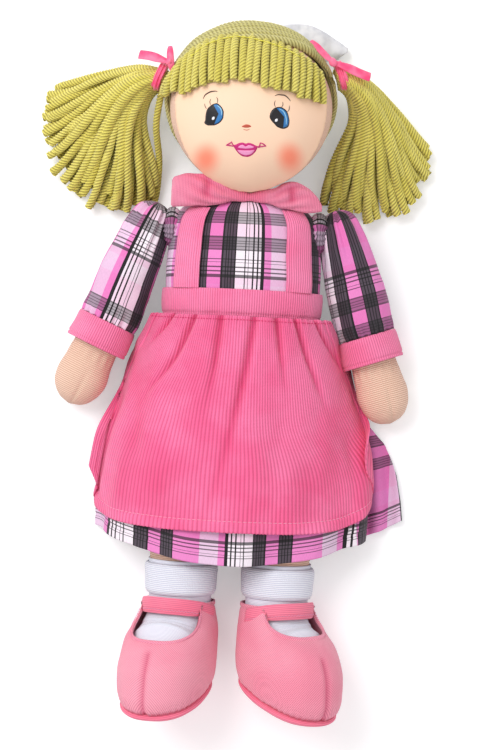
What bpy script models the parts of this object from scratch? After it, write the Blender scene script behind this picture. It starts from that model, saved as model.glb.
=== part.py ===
"""A stuffed rag doll lying on its back, with each piece of its body, hair and clothes.

Metres. Seen from above, +X is to the right and +Y towards the head, and +Z is up. The origin lies
on the surface that the doll rests on, under the middle of its skirt. Left and right are as seen
from above. A share is a part of the named size that it follows.
"""

import math

import bmesh
import bpy
from mathutils import Matrix, Vector

SIDES = {"left": -1, "right": 1}
RIGHTWARD = Vector((1, 0, 0))
HEADWARD = Vector((0, 1, 0))
UPWARD = Vector((0, 0, 1))

# Gaps and cloth
GAP = 0.0003
LOOSE_GAP = 0.0007
DRESS_CLOTH = 0.0012
BAND_CLOTH = 0.0016
FELT = 0.0015
KNIT = 0.0010
CUT_OVERRUN = 0.004

# Rings and grids
BODY_STEPS = 28
LIMB_STEPS = 16
STRIP_STEPS = 10
ROUND_END_STEPS = 4
ROUND_START_SHARE = 0.4

# Torso: share of its length from the hip seam up, half width, half depth, lift of its axis
HIP_Y = -0.012
TORSO_LENGTH = 0.124
TORSO_HALF_WIDTH = 0.0495
TORSO_HALF_DEPTH = 0.0285
TORSO_AXIS_Z = 0.0305
TORSO_SHARES = (
    (0.00, 0.95, 0.10, 0.00),
    (0.05, 0.98, 0.36, 0.00),
    (0.12, 1.00, 0.62, 0.00),
    (0.25, 1.00, 0.88, 0.00),
    (0.40, 0.98, 0.97, 0.00),
    (0.60, 1.00, 1.00, 0.00),
    (0.78, 0.97, 0.96, 0.02),
    (0.88, 0.93, 0.86, 0.06),
    (0.95, 0.82, 0.70, 0.12),
    (1.00, 0.56, 0.50, 0.18),
)

# Neck
NECK_RADIUS = 0.013
NECK_AXIS_Z = 0.038

# Head: angles are measured from the axis that points out of the face
CHIN_Y = 0.1215
HEAD_AXIS_Z = 0.049
HEAD_HALF_WIDTH = 0.0525
HEAD_HALF_HEIGHT = 0.0500
HEAD_HALF_DEPTH = 0.0445
POLE_ANGLE = math.radians(7)
FACE_EDGE_ANGLE = math.radians(66)
FACE_ROWS = 6
HEAD_ROWS = 11

# Hair: the cap's front edge climbs from behind the cheeks to the seam over the forehead
HAIR_GAP = 0.0013
HAIR_DEPTH = 0.0045
CROWN_HAIRLINE = math.radians(66.8)
CHEEK_HAIRLINE = math.radians(101)
NAPE_HAIRLINE = math.radians(128)
HAIRLINE_LOW_SHARE = -0.15
HAIRLINE_HIGH_SHARE = 0.45
HAIR_ROWS = 8
FRINGE_DEPTH = 0.0042
FRINGE_START = math.radians(146)
FRINGE_END = math.radians(36)
FRINGE_BROW_HEIGHT = 0.0070
FRINGE_SPREAD_SHARE = 1.05
FRINGE_COLUMNS = 20
FRINGE_ROWS = 6

# Pigtails: share of the route, outward, down, half width, half depth, height of the axis
PIGTAIL_REACH = {"left": 0.042, "right": 0.0345}
PIGTAIL_DROP = {"left": 0.082, "right": 0.087}
PIGTAIL_HALF_WIDTH = {"left": 0.041, "right": 0.037}
PIGTAIL_HALF_DEPTH = 0.017
TIE_ANGLE = {"left": math.radians(17.5), "right": math.radians(24)}
PIGTAIL_SHARES = (
    (0.00, 0.00, 0.00, 0.19, 0.42, 1.00),
    (0.08, 0.20, -0.04, 0.24, 0.50, 0.94),
    (0.20, 0.48, 0.07, 0.48, 0.76, 0.76),
    (0.34, 0.79, 0.22, 0.75, 0.94, 0.54),
    (0.50, 0.96, 0.42, 0.95, 1.00, 0.38),
    (0.66, 1.00, 0.62, 1.00, 0.94, 0.31),
    (0.80, 0.97, 0.80, 0.90, 0.76, 0.24),
    (0.92, 0.92, 0.93, 0.70, 0.52, 0.17),
    (1.00, 0.90, 1.00, 0.42, 0.26, 0.10),
)
TIE_START_SHARE = 0.020
TIE_END_SHARE = 0.060
TIE_DEPTH = 0.0020

# Ribbons on the ties: share of the strip, outward, headward, rise, half width, half depth
RIBBON_REACH = 0.024
RIBBON_TURN = {"left": math.radians(4), "right": math.radians(-15)}
RIBBON_HALF_WIDTH = 0.0032
RIBBON_KNOT_DEPTH = 0.0022
RIBBON_KNOT_RISE = 0.24
RIBBON_SHARES = (
    (0.00, 0.98, 0.05, 0.00, 0.80, 0.25),
    (0.22, 0.66, 0.03, 0.12, 1.00, 0.25),
    (0.40, 0.32, -0.02, 0.22, 0.90, 0.50),
    (0.55, 0.05, 0.00, 0.24, 1.00, 1.00),
    (0.70, -0.08, 0.13, 0.36, 0.90, 0.55),
    (0.85, -0.18, 0.30, 0.48, 1.00, 0.25),
    (1.00, -0.26, 0.46, 0.52, 0.80, 0.25),
)

# White tape sewn behind the crown
TAPE_START_X = 0.010
TAPE_END_X = 0.060
TAPE_WIDTH = 0.020
TAPE_DEPTH = 0.0020
TAPE_HEIGHT_SHARE = 0.66
TAPE_SAG = 0.004
TAPE_COLUMNS = 7
TAPE_SEAT_SHARE = 0.60

# Arms: share of the arm from its shoulder pivot, half width, half depth
SHOULDER_X = 0.060
SHOULDER_Y = 0.096
SHOULDER_Z = 0.031
ARM_LENGTH = 0.132
ARM_HALF_WIDTH = 0.0165
ARM_TIP_Z = 0.0125
ARM_ANGLE = {"left": math.radians(23.5), "right": math.radians(19)}
ARM_REST_Z = 0.0004
ARM_TOP_SHARE = 0.57
ARM_TOP_DEPTH_SHARE = 0.36
ARM_SHARES = (
    (0.10, 0.67, 0.64),
    (0.20, 0.82, 0.84),
    (0.35, 0.95, 0.97),
    (0.50, 1.00, 1.00),
    (0.62, 0.94, 0.94),
    (0.70, 0.91, 0.90),
    (0.77, 0.97, 0.92),
    (0.84, 1.04, 0.93),
    (0.90, 0.97, 0.84),
    (0.95, 0.76, 0.66),
    (0.985, 0.44, 0.38),
    (1.00, 0.14, 0.12),
)
TAB_RADIUS = 0.0085

# Sleeves: share of the arm, half width, half depth, outward shift
SLEEVE_HALF_WIDTH = 0.0198
SLEEVE_SHARES = (
    (-0.100, 0.14, 0.12, 0.14),
    (-0.085, 0.38, 0.36, 0.13),
    (-0.050, 0.60, 0.62, 0.12),
    (0.015, 0.70, 0.78, 0.12),
    (0.115, 0.82, 0.86, 0.12),
    (0.230, 0.91, 0.92, 0.10),
    (0.380, 0.99, 0.97, 0.05),
    (0.500, 1.00, 1.00, 0.00),
    (0.540, 0.97, 0.97, 0.00),
)
CUFF_DEPTH = 0.0180
CUFF_HALF_WIDTH = 0.0206

# Legs: share of the leg from its hip pivot to the ankle, half width, half depth
LEG_X = 0.032
LEG_AXIS_Z = 0.0239
LEG_PIVOT_Y = -0.032
ANKLE_Y = -0.159
LEG_RADIUS = 0.022
LEG_TOP_SHARE = 0.72
LEG_TOP_DEPTH_SHARE = 0.50
LEG_SHARES = (
    (0.06, 0.84, 0.70),
    (0.14, 0.97, 0.90),
    (0.25, 1.02, 0.99),
    (0.45, 1.02, 1.02),
    (0.70, 0.94, 0.95),
    (0.85, 0.88, 0.89),
    (1.00, 0.87, 0.88),
)
HIP_SEAM_HALF_WIDTH = 0.046
HIP_SEAM_DEPTH = 0.0037
HIP_SEAM_HALF_THICKNESS = 0.0018
HIP_SEAM_Z = 0.0250

# Feet: share of the way from ankle to toe, half width, half depth; soles: share of depth, size
FOOT_ROLL = {"left": math.radians(-20), "right": math.radians(38)}
FOOT_PITCH = math.radians(72)
INSTEP_RADIUS = 0.030
FOOT_LENGTH = 0.034
FOOT_HALF_WIDTH = 0.0257
FOOT_HALF_DEPTH = 0.0240
SOLE_SHARE = 0.77
FOOT_SHARES = (
    (0.10, 0.83, 0.88),
    (0.22, 0.89, 0.92),
    (0.34, 0.95, 0.96),
    (0.46, 1.00, 0.99),
    (0.58, 1.02, 0.97),
    (0.70, 1.00, 0.90),
    (0.81, 0.93, 0.78),
    (0.90, 0.78, 0.60),
    (0.96, 0.56, 0.40),
    (1.00, 0.26, 0.20),
)
SOCK_TOP_Y = -0.124
SOCK_CUFF_TOP_Y = -0.1265
SOCK_CUFF_BOTTOM_Y = -0.1465
SOCK_CUFF_DEPTH = 0.0018
STRAP_TOP_Y = -0.1480
STRAP_BOTTOM_Y = -0.1580
UPPER_TOP_Y = -0.1510
THROAT_HALF_WIDTH = 0.0215
THROAT_REACH = 0.0205
THROAT_STEPS = 24
THROAT_ROWS = 12
SOLE_HALF_LENGTH = 0.037
SOLE_HALF_WIDTH = 0.0270
SOLE_DEPTH = 0.0075
SOLE_SHIFT = 0.0020
SOLE_POWER = 2.3
SOLE_SHARES = (
    (0.00, 0.97),
    (0.15, 1.02),
    (0.40, 0.99),
    (0.65, 0.90),
    (0.85, 0.74),
    (1.00, 0.48),
)

# Bodice and straps
BODICE_BOTTOM_Y = 0.0370
BODICE_TOP_Y = 0.1075
APRON_BAND_TOP_Y = 0.0525
SHOULDER_STRAP_TOP_Y = 0.1060
SHOULDER_STRAP_STEPS = 2
BAND_LAP_STEPS = 1

# Collar lobes: share of the reach from the middle, half height, half depth, height shift, drop
COLLAR_REACH = 0.0490
COLLAR_HALF_HEIGHT = 0.0102
COLLAR_HALF_DEPTH = 0.0027
COLLAR_Y = 0.1155
COLLAR_Z = 0.0531
COLLAR_DROP = 0.0030
COLLAR_SHARES = (
    (0.02, 0.22, 0.55, -0.05, 0.0),
    (0.14, 0.42, 0.90, -0.05, 0.0),
    (0.30, 0.60, 1.00, 0.00, 0.0),
    (0.48, 0.80, 0.95, 0.02, 0.2),
    (0.66, 0.96, 0.90, 0.08, 0.5),
    (0.84, 1.00, 0.85, 0.08, 0.8),
    (0.95, 0.82, 0.70, 0.00, 1.0),
    (1.00, 0.45, 0.40, -0.10, 1.0),
)

# Skirt: share of its length, half width over the legs, height, left edge, right edge, squareness
WAIST_Y = 0.0367
SKIRT_LENGTH = 0.161
SKIRT_HALF_WIDTH = 0.074
SKIRT_HEIGHT = 0.0590
SKIRT_FLANGE = 0.050
SKIRT_HEM_RISE = 0.0126
SKIRT_FOLDS = 5
SKIRT_FOLD_DEPTH = 0.0028
SKIRT_COLUMNS = 40
SKIRT_BACK_COLUMNS = 14
SKIRT_ROW_SHARES = (0.0, 0.06, 0.14, 0.24, 0.36, 0.48, 0.60, 0.72, 0.82, 0.91, 1.0)
SKIRT_SHARES = (
    (0.00, 0.80, 1.000, 0.81, 0.81, 2.40),
    (0.14, 0.84, 1.000, 0.94, 0.90, 2.25),
    (0.28, 0.92, 0.985, 1.03, 0.97, 2.10),
    (0.43, 1.02, 0.965, 1.09, 1.13, 2.00),
    (0.58, 1.10, 0.950, 1.14, 1.36, 1.92),
    (0.75, 1.15, 0.940, 1.18, 1.48, 1.88),
    (0.90, 1.18, 0.930, 1.20, 1.53, 1.85),
    (1.00, 1.18, 0.925, 1.20, 1.55, 1.85),
)

# Apron: share of its length, left edge, right edge, in shares of its half width
APRON_LENGTH = 0.139
APRON_HALF_WIDTH = 0.097
APRON_CORNER_RISE = {"left": 0.036, "right": 0.056}
APRON_CORNER_POWER = 4.5
APRON_PLEAT_DEPTH = 0.0036
APRON_CREASE_SHARE = 0.055
APRON_COLUMNS = 40
APRON_GAP = 0.0022
APRON_ROW_SHARES = (0.0, 0.08, 0.18, 0.30, 0.44, 0.58, 0.72, 0.86, 1.0)
APRON_SHARES = (
    (0.00, 0.53, 0.53),
    (0.25, 0.65, 0.63),
    (0.50, 0.83, 0.735),
    (0.75, 0.97, 0.91),
    (1.00, 1.01, 0.95),
)
# Creases between the pleats: share of the half width at the band, lean, reach, depth
APRON_CREASE_SHARES = (
    (-0.65, -0.80, 0.25, 0.8),
    (-0.40, -0.36, 0.50, 1.0),
    (-0.15, 0.00, 0.55, 1.0),
    (0.10, -0.22, 1.10, 1.0),
    (0.30, 0.10, 0.40, 1.0),
    (0.50, 0.32, 0.55, 1.0),
    (0.75, 0.50, 0.40, 0.8),
)

# Sizes that follow from those above
TORSO_TOP_Y = HIP_Y + TORSO_LENGTH
TORSO_REST_Z = DRESS_CLOTH + 2 * GAP
BODICE_INSIDE = GAP
BODICE_OUTSIDE = BODICE_INSIDE + DRESS_CLOTH
BAND_INSIDE = BODICE_OUTSIDE + GAP
BAND_OUTSIDE = BAND_INSIDE + BAND_CLOTH
HEAD_Y = CHIN_Y + HEAD_HALF_HEIGHT
HEAD_CENTRE = Vector((0, HEAD_Y, HEAD_AXIS_Z))
TAPE_Y = HEAD_Y + TAPE_HEIGHT_SHARE * HEAD_HALF_HEIGHT
HEAD_REST_Z = HAIR_DEPTH + GAP
FACE_OUTSIDE = GAP + FELT
HAIR_OUTSIDE = HAIR_GAP + HAIR_DEPTH
SOCK_INSIDE = GAP
SOCK_OUTSIDE = SOCK_INSIDE + KNIT
UPPER_INSIDE = SOCK_OUTSIDE + GAP
UPPER_OUTSIDE = UPPER_INSIDE + FELT
LEG_LENGTH = LEG_PIVOT_Y - ANKLE_Y
SOLE_REACH = INSTEP_RADIUS + SOLE_SHARE * FOOT_HALF_DEPTH
BEND_CENTRE = Vector((0, ANKLE_Y, INSTEP_RADIUS))
BEND_LENGTH = INSTEP_RADIUS * FOOT_PITCH
TOE_DIRECTION = Vector((0, -math.cos(FOOT_PITCH), math.sin(FOOT_PITCH)))
SOLE_NORMAL = Vector((0, -math.sin(FOOT_PITCH), -math.cos(FOOT_PITCH)))
SKIRT_FLOOR_Z = DRESS_CLOTH + GAP

SKIN = ("skin", (0.94, 0.78, 0.66), 0.85)
YARN = ("yarn", (0.66, 0.58, 0.16), 0.95)
PLAID = ("plaid", (0.86, 0.42, 0.66), 0.85)
PINK_CORD = ("pink_cord", (0.93, 0.27, 0.45), 0.90)
PINK_FELT = ("pink_felt", (0.95, 0.36, 0.48), 0.90)
WHITE_KNIT = ("white_knit", (0.86, 0.86, 0.94), 0.90)
PINK_SATIN = ("pink_satin", (0.95, 0.32, 0.45), 0.35)
WHITE_SATIN = ("white_satin", (0.92, 0.92, 0.92), 0.40)


def sample(table, share):
    """The row of a share table at one share of its length, between the rows beside it."""
    for row, following in zip(table, table[1:]):
        if share <= following[0]:
            part = (share - row[0]) / (following[0] - row[0])
            return [low + part * (high - low) for low, high in zip(row, following)]
    return list(table[-1])


def stations(table, first, last):
    """Where a piece has its rings: at its ends and at the table's rows between them."""
    return [first, *(row[0] for row in table if first < row[0] < last), last]


def ring(centre, across, outward, half_width, half_depth, steps, floor=0.0):
    """Points round a stuffed section, flat where it lies on the floor."""
    points = []
    for step in range(steps):
        turn = math.tau * step / steps
        point = centre + across * half_width * math.cos(turn) + outward * half_depth * math.sin(turn)
        point.z = max(point.z, floor)
        points.append(point)
    return points


def shade(colour):
    """The material of one colour and roughness, made once."""
    name, base, roughness = colour
    material = bpy.data.materials.get(name)
    if material is None:
        material = bpy.data.materials.new(name)
        material.use_nodes = True
        surface = material.node_tree.nodes["Principled BSDF"]
        surface.inputs["Base Color"].default_value = (*base, 1)
        surface.inputs["Roughness"].default_value = roughness
    return material


def add_piece(name, mesh, colour, place=None):
    """Turn a closed bmesh into a named, smooth shaded object."""
    bmesh.ops.recalc_face_normals(mesh, faces=mesh.faces)
    data = bpy.data.meshes.new(name)
    mesh.to_mesh(data)
    mesh.free()
    data.shade_smooth()
    data.set_sharp_from_angle(angle=math.radians(50))
    data.materials.append(shade(colour))
    piece = bpy.data.objects.new(name, data)
    if place is not None:
        piece.matrix_world = place
    bpy.context.collection.objects.link(piece)
    return piece


def bridge_rows(mesh, rows, wrap):
    """Join rows of vertices with quads, each row closed on itself where wrap is set."""
    for row, following in zip(rows, rows[1:]):
        for column in range(len(row) if wrap else len(row) - 1):
            after = (column + 1) % len(row)
            mesh.faces.new((row[column], row[after], following[after], following[column]))


def add_stuffed(name, rings, colour, place=None):
    """A stuffed piece: rings joined along its length and closed at both ends."""
    mesh = bmesh.new()
    rows = [[mesh.verts.new(point) for point in points] for points in rings]
    bridge_rows(mesh, rows, wrap=True)
    mesh.faces.new(rows[0])
    mesh.faces.new(rows[-1])
    return add_piece(name, mesh, colour, place)


def rims(rows, wrap, closed_end):
    """The open edges of one side of a cloth, in order."""
    if wrap:
        return rows[:1] if closed_end else [rows[0], rows[-1]]
    right = [row[-1] for row in rows[1:-1]]
    left = [row[0] for row in rows[1:-1]]
    return [rows[0] + right + rows[-1][::-1] + left[::-1]]


def add_cloth(name, outside, inside, colour, wrap=True, closed_end=False, place=None):
    """A cloth of real thickness between two grids of points that match."""
    mesh = bmesh.new()
    sides = []
    for grid in (outside, inside):
        rows = [[mesh.verts.new(point) for point in points] for points in grid]
        bridge_rows(mesh, rows, wrap)
        if closed_end:
            mesh.faces.new(rows[-1])
        sides.append(rims(rows, wrap, closed_end))
    for outer_rim, inner_rim in zip(*sides):
        bridge_rows(mesh, [outer_rim, inner_rim], wrap=True)
    return add_piece(name, mesh, colour, place)


def lifted(rows, distance):
    """A grid of points moved along its own upward normals."""
    moved = []
    for number, row in enumerate(rows):
        above = rows[max(number - 1, 0)]
        below = rows[min(number + 1, len(rows) - 1)]
        new_row = []
        for column, point in enumerate(row):
            before = row[max(column - 1, 0)]
            after = row[min(column + 1, len(row) - 1)]
            normal = (after - before).cross(above[column] - below[column]).normalized()
            new_row.append(point + normal * distance)
        moved.append(new_row)
    return moved


def cut_with(piece, cutter):
    """Cut one object out of another, and keep the cutter as a hidden guide."""
    cut = piece.modifiers.new(cutter.name, "BOOLEAN")
    cut.operation = "DIFFERENCE"
    cut.solver = "EXACT"
    cut.object = cutter
    cutter.hide_render = True
    cutter.display_type = "WIRE"


def add_cutter(name, mesh):
    """A closed guide shape that only cuts."""
    data = bpy.data.meshes.new(name)
    mesh.to_mesh(data)
    mesh.free()
    cutter = bpy.data.objects.new(name, data)
    bpy.context.collection.objects.link(cutter)
    return cutter


def torso_ring(y, grow=0.0, floor=TORSO_REST_Z):
    """A section of the torso at one place along it, grown for the clothes over it."""
    share = (y - HIP_Y) / TORSO_LENGTH
    _, width, depth, lift = sample(TORSO_SHARES, share)
    centre = Vector((0, y, TORSO_AXIS_Z + lift * TORSO_HALF_DEPTH))
    half_width = width * TORSO_HALF_WIDTH + grow
    half_depth = depth * TORSO_HALF_DEPTH + grow
    return ring(centre, RIGHTWARD, UPWARD, half_width, half_depth, BODY_STEPS, floor)


def torso_places(bottom, top):
    """Places along the torso for a garment between two heights."""
    shares = stations(TORSO_SHARES, (bottom - HIP_Y) / TORSO_LENGTH, (top - HIP_Y) / TORSO_LENGTH)
    return [HIP_Y + share * TORSO_LENGTH for share in shares]


def add_torso():
    add_stuffed("torso", [torso_ring(y) for y in torso_places(HIP_Y, TORSO_TOP_Y)], SKIN)


def add_armhole_cutter(name, side, radius, inner_x, outer_x):
    """A cylinder across the shoulder, where the arm's flat tab passes."""
    mesh = bmesh.new()
    length = outer_x - inner_x
    middle = Vector((side * (inner_x + length / 2), SHOULDER_Y, SHOULDER_Z))
    place = Matrix.Translation(middle) @ Matrix.Rotation(math.pi / 2, 4, "Y")
    bmesh.ops.create_cone(mesh, cap_ends=True, segments=LIMB_STEPS, radius1=radius,
                          radius2=radius, depth=length, matrix=place)
    return add_cutter(name, mesh)


def shoulder_tab_ends():
    """How far out the arm's tab starts and ends, between the torso and the arm's round top."""
    width = sample(TORSO_SHARES, (SHOULDER_Y - TAB_RADIUS - HIP_Y) / TORSO_LENGTH)[1]
    return width * TORSO_HALF_WIDTH + GAP, SHOULDER_X - ARM_TOP_SHARE * ARM_HALF_WIDTH - GAP


def add_bodice():
    places = torso_places(BODICE_BOTTOM_Y, BODICE_TOP_Y)
    outside = [torso_ring(y, BODICE_OUTSIDE, 0.0) for y in places]
    inside = [torso_ring(y, BODICE_INSIDE, DRESS_CLOTH) for y in places]
    bodice = add_cloth("bodice", outside, inside, PLAID)
    for name, side in SIDES.items():
        inner_x = shoulder_tab_ends()[0] - CUT_OVERRUN
        cutter = add_armhole_cutter(f"armhole_{name}", side, TAB_RADIUS + GAP, inner_x, SHOULDER_X)
        cut_with(bodice, cutter)


def arc_on_torso(y, grow, first_step, last_step):
    """Part of a section of the clothed torso, from one step of its ring to another."""
    points = torso_ring(y, grow)
    return [points[step % BODY_STEPS] for step in range(first_step, last_step + 1)]


def add_band_and_straps():
    """The apron's waistband over the front, and the two straps that climb from it."""
    first = -BAND_LAP_STEPS
    last = BODY_STEPS // 2 + BAND_LAP_STEPS
    places = torso_places(BODICE_BOTTOM_Y, APRON_BAND_TOP_Y)
    outside = [arc_on_torso(y, BAND_OUTSIDE, first, last) for y in places]
    inside = [arc_on_torso(y, BAND_INSIDE, first, last) for y in places]
    add_cloth("apron_band", outside, inside, PINK_CORD, wrap=False)
    places = torso_places(APRON_BAND_TOP_Y + GAP, SHOULDER_STRAP_TOP_Y)
    middle = BODY_STEPS // 8
    for name, side in SIDES.items():
        step = middle if side > 0 else BODY_STEPS // 2 - middle
        first = step - SHOULDER_STRAP_STEPS // 2
        last = first + SHOULDER_STRAP_STEPS
        outside = [arc_on_torso(y, BAND_OUTSIDE, first, last) for y in places]
        inside = [arc_on_torso(y, BAND_INSIDE, first, last) for y in places]
        add_cloth(f"apron_strap_{name}", outside, inside, PINK_CORD, wrap=False)


def add_neck():
    """The short stuffed neck between the torso's top and the underside of the head."""
    top = HEAD_Y - HEAD_HALF_HEIGHT - GAP
    rings = []
    for y in (TORSO_TOP_Y + GAP, top):
        centre = Vector((0, y, NECK_AXIS_Z))
        rings.append(ring(centre, RIGHTWARD, UPWARD, NECK_RADIUS, NECK_RADIUS, BODY_STEPS))
    add_stuffed("neck", rings, SKIN)


def head_point(polar, azimuth, grow=0.0, floor=0.0):
    """A point on the head, by its angle from the face's axis and its turn from the right."""
    reach = math.sin(polar)
    point = HEAD_CENTRE + Vector((
        (HEAD_HALF_WIDTH + grow) * reach * math.cos(azimuth),
        (HEAD_HALF_HEIGHT + grow) * reach * math.sin(azimuth),
        (HEAD_HALF_DEPTH + grow) * math.cos(polar),
    ))
    point.z = max(point.z, floor)
    return point


def head_turns():
    return [math.tau * step / BODY_STEPS for step in range(BODY_STEPS)]


def add_head():
    """The stuffed head, and the smooth front panel that is sewn round its face."""
    rings = []
    for row in range(HEAD_ROWS + 1):
        polar = POLE_ANGLE + (math.pi - 2 * POLE_ANGLE) * row / HEAD_ROWS
        rings.append([head_point(polar, turn, floor=HEAD_REST_Z) for turn in head_turns()])
    add_stuffed("head", rings, SKIN)
    polars = [FACE_EDGE_ANGLE + (POLE_ANGLE - FACE_EDGE_ANGLE) * row / FACE_ROWS
              for row in range(FACE_ROWS + 1)]
    outside, inside = (
        [[head_point(polar, turn, grow) for turn in head_turns()] for polar in polars]
        for grow in (FACE_OUTSIDE, GAP)
    )
    add_cloth("face_panel", outside, inside, SKIN, closed_end=True)


def hairline(azimuth):
    """How far back the hair begins: at the nape, behind the cheeks and over the forehead."""
    height = math.sin(azimuth)
    if height < HAIRLINE_LOW_SHARE:
        fall = (HAIRLINE_LOW_SHARE - height) / (HAIRLINE_LOW_SHARE + 1)
        return CHEEK_HAIRLINE + (NAPE_HAIRLINE - CHEEK_HAIRLINE) * fall
    climb = min((height - HAIRLINE_LOW_SHARE) / (HAIRLINE_HIGH_SHARE - HAIRLINE_LOW_SHARE), 1)
    blend = climb * climb * (3 - 2 * climb)
    return CHEEK_HAIRLINE + (CROWN_HAIRLINE - CHEEK_HAIRLINE) * blend


def add_hair_cap():
    """The yarn that covers the crown and the back of the head."""
    def rows(grow, floor):
        made = []
        for row in range(HAIR_ROWS + 1):
            back = row / HAIR_ROWS
            made.append([
                head_point(hairline(turn) * (1 - back) + (math.pi - POLE_ANGLE) * back,
                           turn, grow, floor)
                for turn in head_turns()
            ])
        return made

    add_cloth("hair_cap", rows(HAIR_OUTSIDE, 0.0), rows(HAIR_GAP, HAIR_DEPTH), YARN, closed_end=True)


def add_fringe():
    """The yarn that falls from the seam over the forehead to the brow."""
    brow = FRINGE_BROW_HEIGHT / HEAD_HALF_HEIGHT
    edge = math.sin(FACE_EDGE_ANGLE)

    def rows(grow):
        made = []
        for row in range(FRINGE_ROWS + 1):
            down = row / FRINGE_ROWS
            points = []
            for column in range(FRINGE_COLUMNS + 1):
                turn = FRINGE_START + (FRINGE_END - FRINGE_START) * column / FRINGE_COLUMNS
                across = edge * math.cos(turn) * (1 + (FRINGE_SPREAD_SHARE - 1) * down)
                height = edge * math.sin(turn) * (1 - down) + brow * down
                polar = math.asin(math.hypot(across, height))
                points.append(head_point(polar, math.atan2(height, across), grow))
            made.append(points)
        return made

    inside = FACE_OUTSIDE + LOOSE_GAP
    add_cloth("fringe", rows(inside + FRINGE_DEPTH), rows(inside), YARN, wrap=False)


def tie_point(name):
    """Where a pigtail leaves the hair, on the cap's outside at the widest part of the head."""
    side = SIDES[name]
    point = head_point(math.pi / 2, TIE_ANGLE[name], HAIR_OUTSIDE + GAP)
    return Vector((side * point.x, point.y, point.z))


def pigtail_centre(name, share):
    _, outward, down, _, _, height = sample(PIGTAIL_SHARES, share)
    start = tie_point(name)
    return Vector((
        start.x + SIDES[name] * outward * PIGTAIL_REACH[name],
        start.y - down * PIGTAIL_DROP[name],
        start.z * height,
    ))


def pigtail_ring(name, share, grow=0.0):
    """A section of a pigtail, square to its route as seen from above."""
    step = PIGTAIL_SHARES[1][0]
    heading = pigtail_centre(name, min(share + step, 1)) - pigtail_centre(name, max(share - step, 0))
    heading.z = 0
    across = heading.cross(UPWARD).normalized()
    row = sample(PIGTAIL_SHARES, share)
    half_width = row[3] * PIGTAIL_HALF_WIDTH[name] + grow
    half_depth = row[4] * PIGTAIL_HALF_DEPTH + grow
    centre = pigtail_centre(name, share)
    return ring(centre, across, UPWARD, half_width, half_depth, LIMB_STEPS, GAP)


def add_pigtail(name):
    """A bunch of yarn, the band that ties it and the ribbon on the band."""
    shares = (TIE_START_SHARE, TIE_END_SHARE)
    places = sorted([*shares, *(row[0] for row in PIGTAIL_SHARES)])
    add_stuffed(f"pigtail_{name}", [pigtail_ring(name, share) for share in places], YARN)
    outside, inside = ([pigtail_ring(name, share, grow) for share in shares]
                       for grow in (GAP + TIE_DEPTH, GAP))
    add_cloth(f"hair_tie_{name}", outside, inside, PINK_SATIN)
    add_ribbon(name)


def add_ribbon(name):
    """A satin ribbon knotted over the hair tie, with two loose tails."""
    middle = (TIE_START_SHARE + TIE_END_SHARE) / 2
    top = max(point.z for point in pigtail_ring(name, middle, GAP + TIE_DEPTH))
    knot = pigtail_centre(name, middle)
    knot.z = top + RIBBON_KNOT_DEPTH + GAP
    turned = Matrix.Rotation(SIDES[name] * RIBBON_TURN[name], 3, "Z")
    route = []
    for _, outward, headward, rise, _, _ in RIBBON_SHARES:
        shift = turned @ Vector((SIDES[name] * outward, headward, rise - RIBBON_KNOT_RISE))
        route.append(knot + shift * RIBBON_REACH)
    rings = []
    for number, row in enumerate(RIBBON_SHARES):
        heading = route[min(number + 1, len(route) - 1)] - route[max(number - 1, 0)]
        across = heading.cross(UPWARD).normalized()
        outward = across.cross(heading).normalized()
        rings.append(ring(route[number], across, outward, row[4] * RIBBON_HALF_WIDTH,
                          row[5] * RIBBON_KNOT_DEPTH, STRIP_STEPS))
    add_stuffed(f"ribbon_{name}", rings, PINK_SATIN)


def add_head_tape():
    """The folded white tape that is sewn behind the crown and shows beside it."""
    def underside(x, y):
        across = min(x / (HEAD_HALF_WIDTH + HAIR_OUTSIDE), TAPE_SEAT_SHARE)
        height = (y - HEAD_Y) / (HEAD_HALF_HEIGHT + HAIR_OUTSIDE)
        reach = math.sqrt(max(1 - across * across - height * height, 0))
        return HEAD_AXIS_Z - (HEAD_HALF_DEPTH + HAIR_OUTSIDE) * reach

    def rows(drop):
        made = []
        for out in (0.0, 0.5, 1.0):
            points = []
            for column in range(TAPE_COLUMNS + 1):
                x = TAPE_START_X + (TAPE_END_X - TAPE_START_X) * column / TAPE_COLUMNS
                bow = TAPE_SAG * math.sin(math.pi * column / TAPE_COLUMNS)
                seat = underside(x, TAPE_Y + bow) - LOOSE_GAP
                y = TAPE_Y + bow + out * TAPE_WIDTH
                points.append(Vector((x, y, seat - drop - out * TAPE_SAG)))
            made.append(points)
        return made

    add_cloth("head_tape", rows(0.0), rows(TAPE_DEPTH), WHITE_SATIN, wrap=False)


def arm_frame(name):
    """The arm's direction and its outward side, seen from above."""
    side = SIDES[name]
    angle = ARM_ANGLE[name]
    along = Vector((side * math.sin(angle), -math.cos(angle), 0))
    outward = Vector((side * math.cos(angle), math.sin(angle), 0))
    return along, outward


def arm_ring(name, share, half_width, half_depth, shift=0.0, floor=ARM_REST_Z):
    """A section of the arm, or of a sleeve round it, at one share of its length."""
    along, outward = arm_frame(name)
    centre = Vector((SIDES[name] * SHOULDER_X, SHOULDER_Y, SHOULDER_Z))
    centre += along * share * ARM_LENGTH + outward * shift
    centre.z += (ARM_TIP_Z - SHOULDER_Z) * max(share, 0)
    return ring(centre, outward, UPWARD, half_width, half_depth, LIMB_STEPS, floor)


def round_top(radius, length):
    """Shares and widths of a limb's round top, which turns about its pivot and clears its seat."""
    rows = []
    for step in range(ROUND_END_STEPS):
        turn = math.pi / 2 * (step + ROUND_START_SHARE) / ROUND_END_STEPS
        rows.append((-radius * math.cos(turn) / length, radius * math.sin(turn)))
    rows.append((0.0, radius))
    return rows


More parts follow.
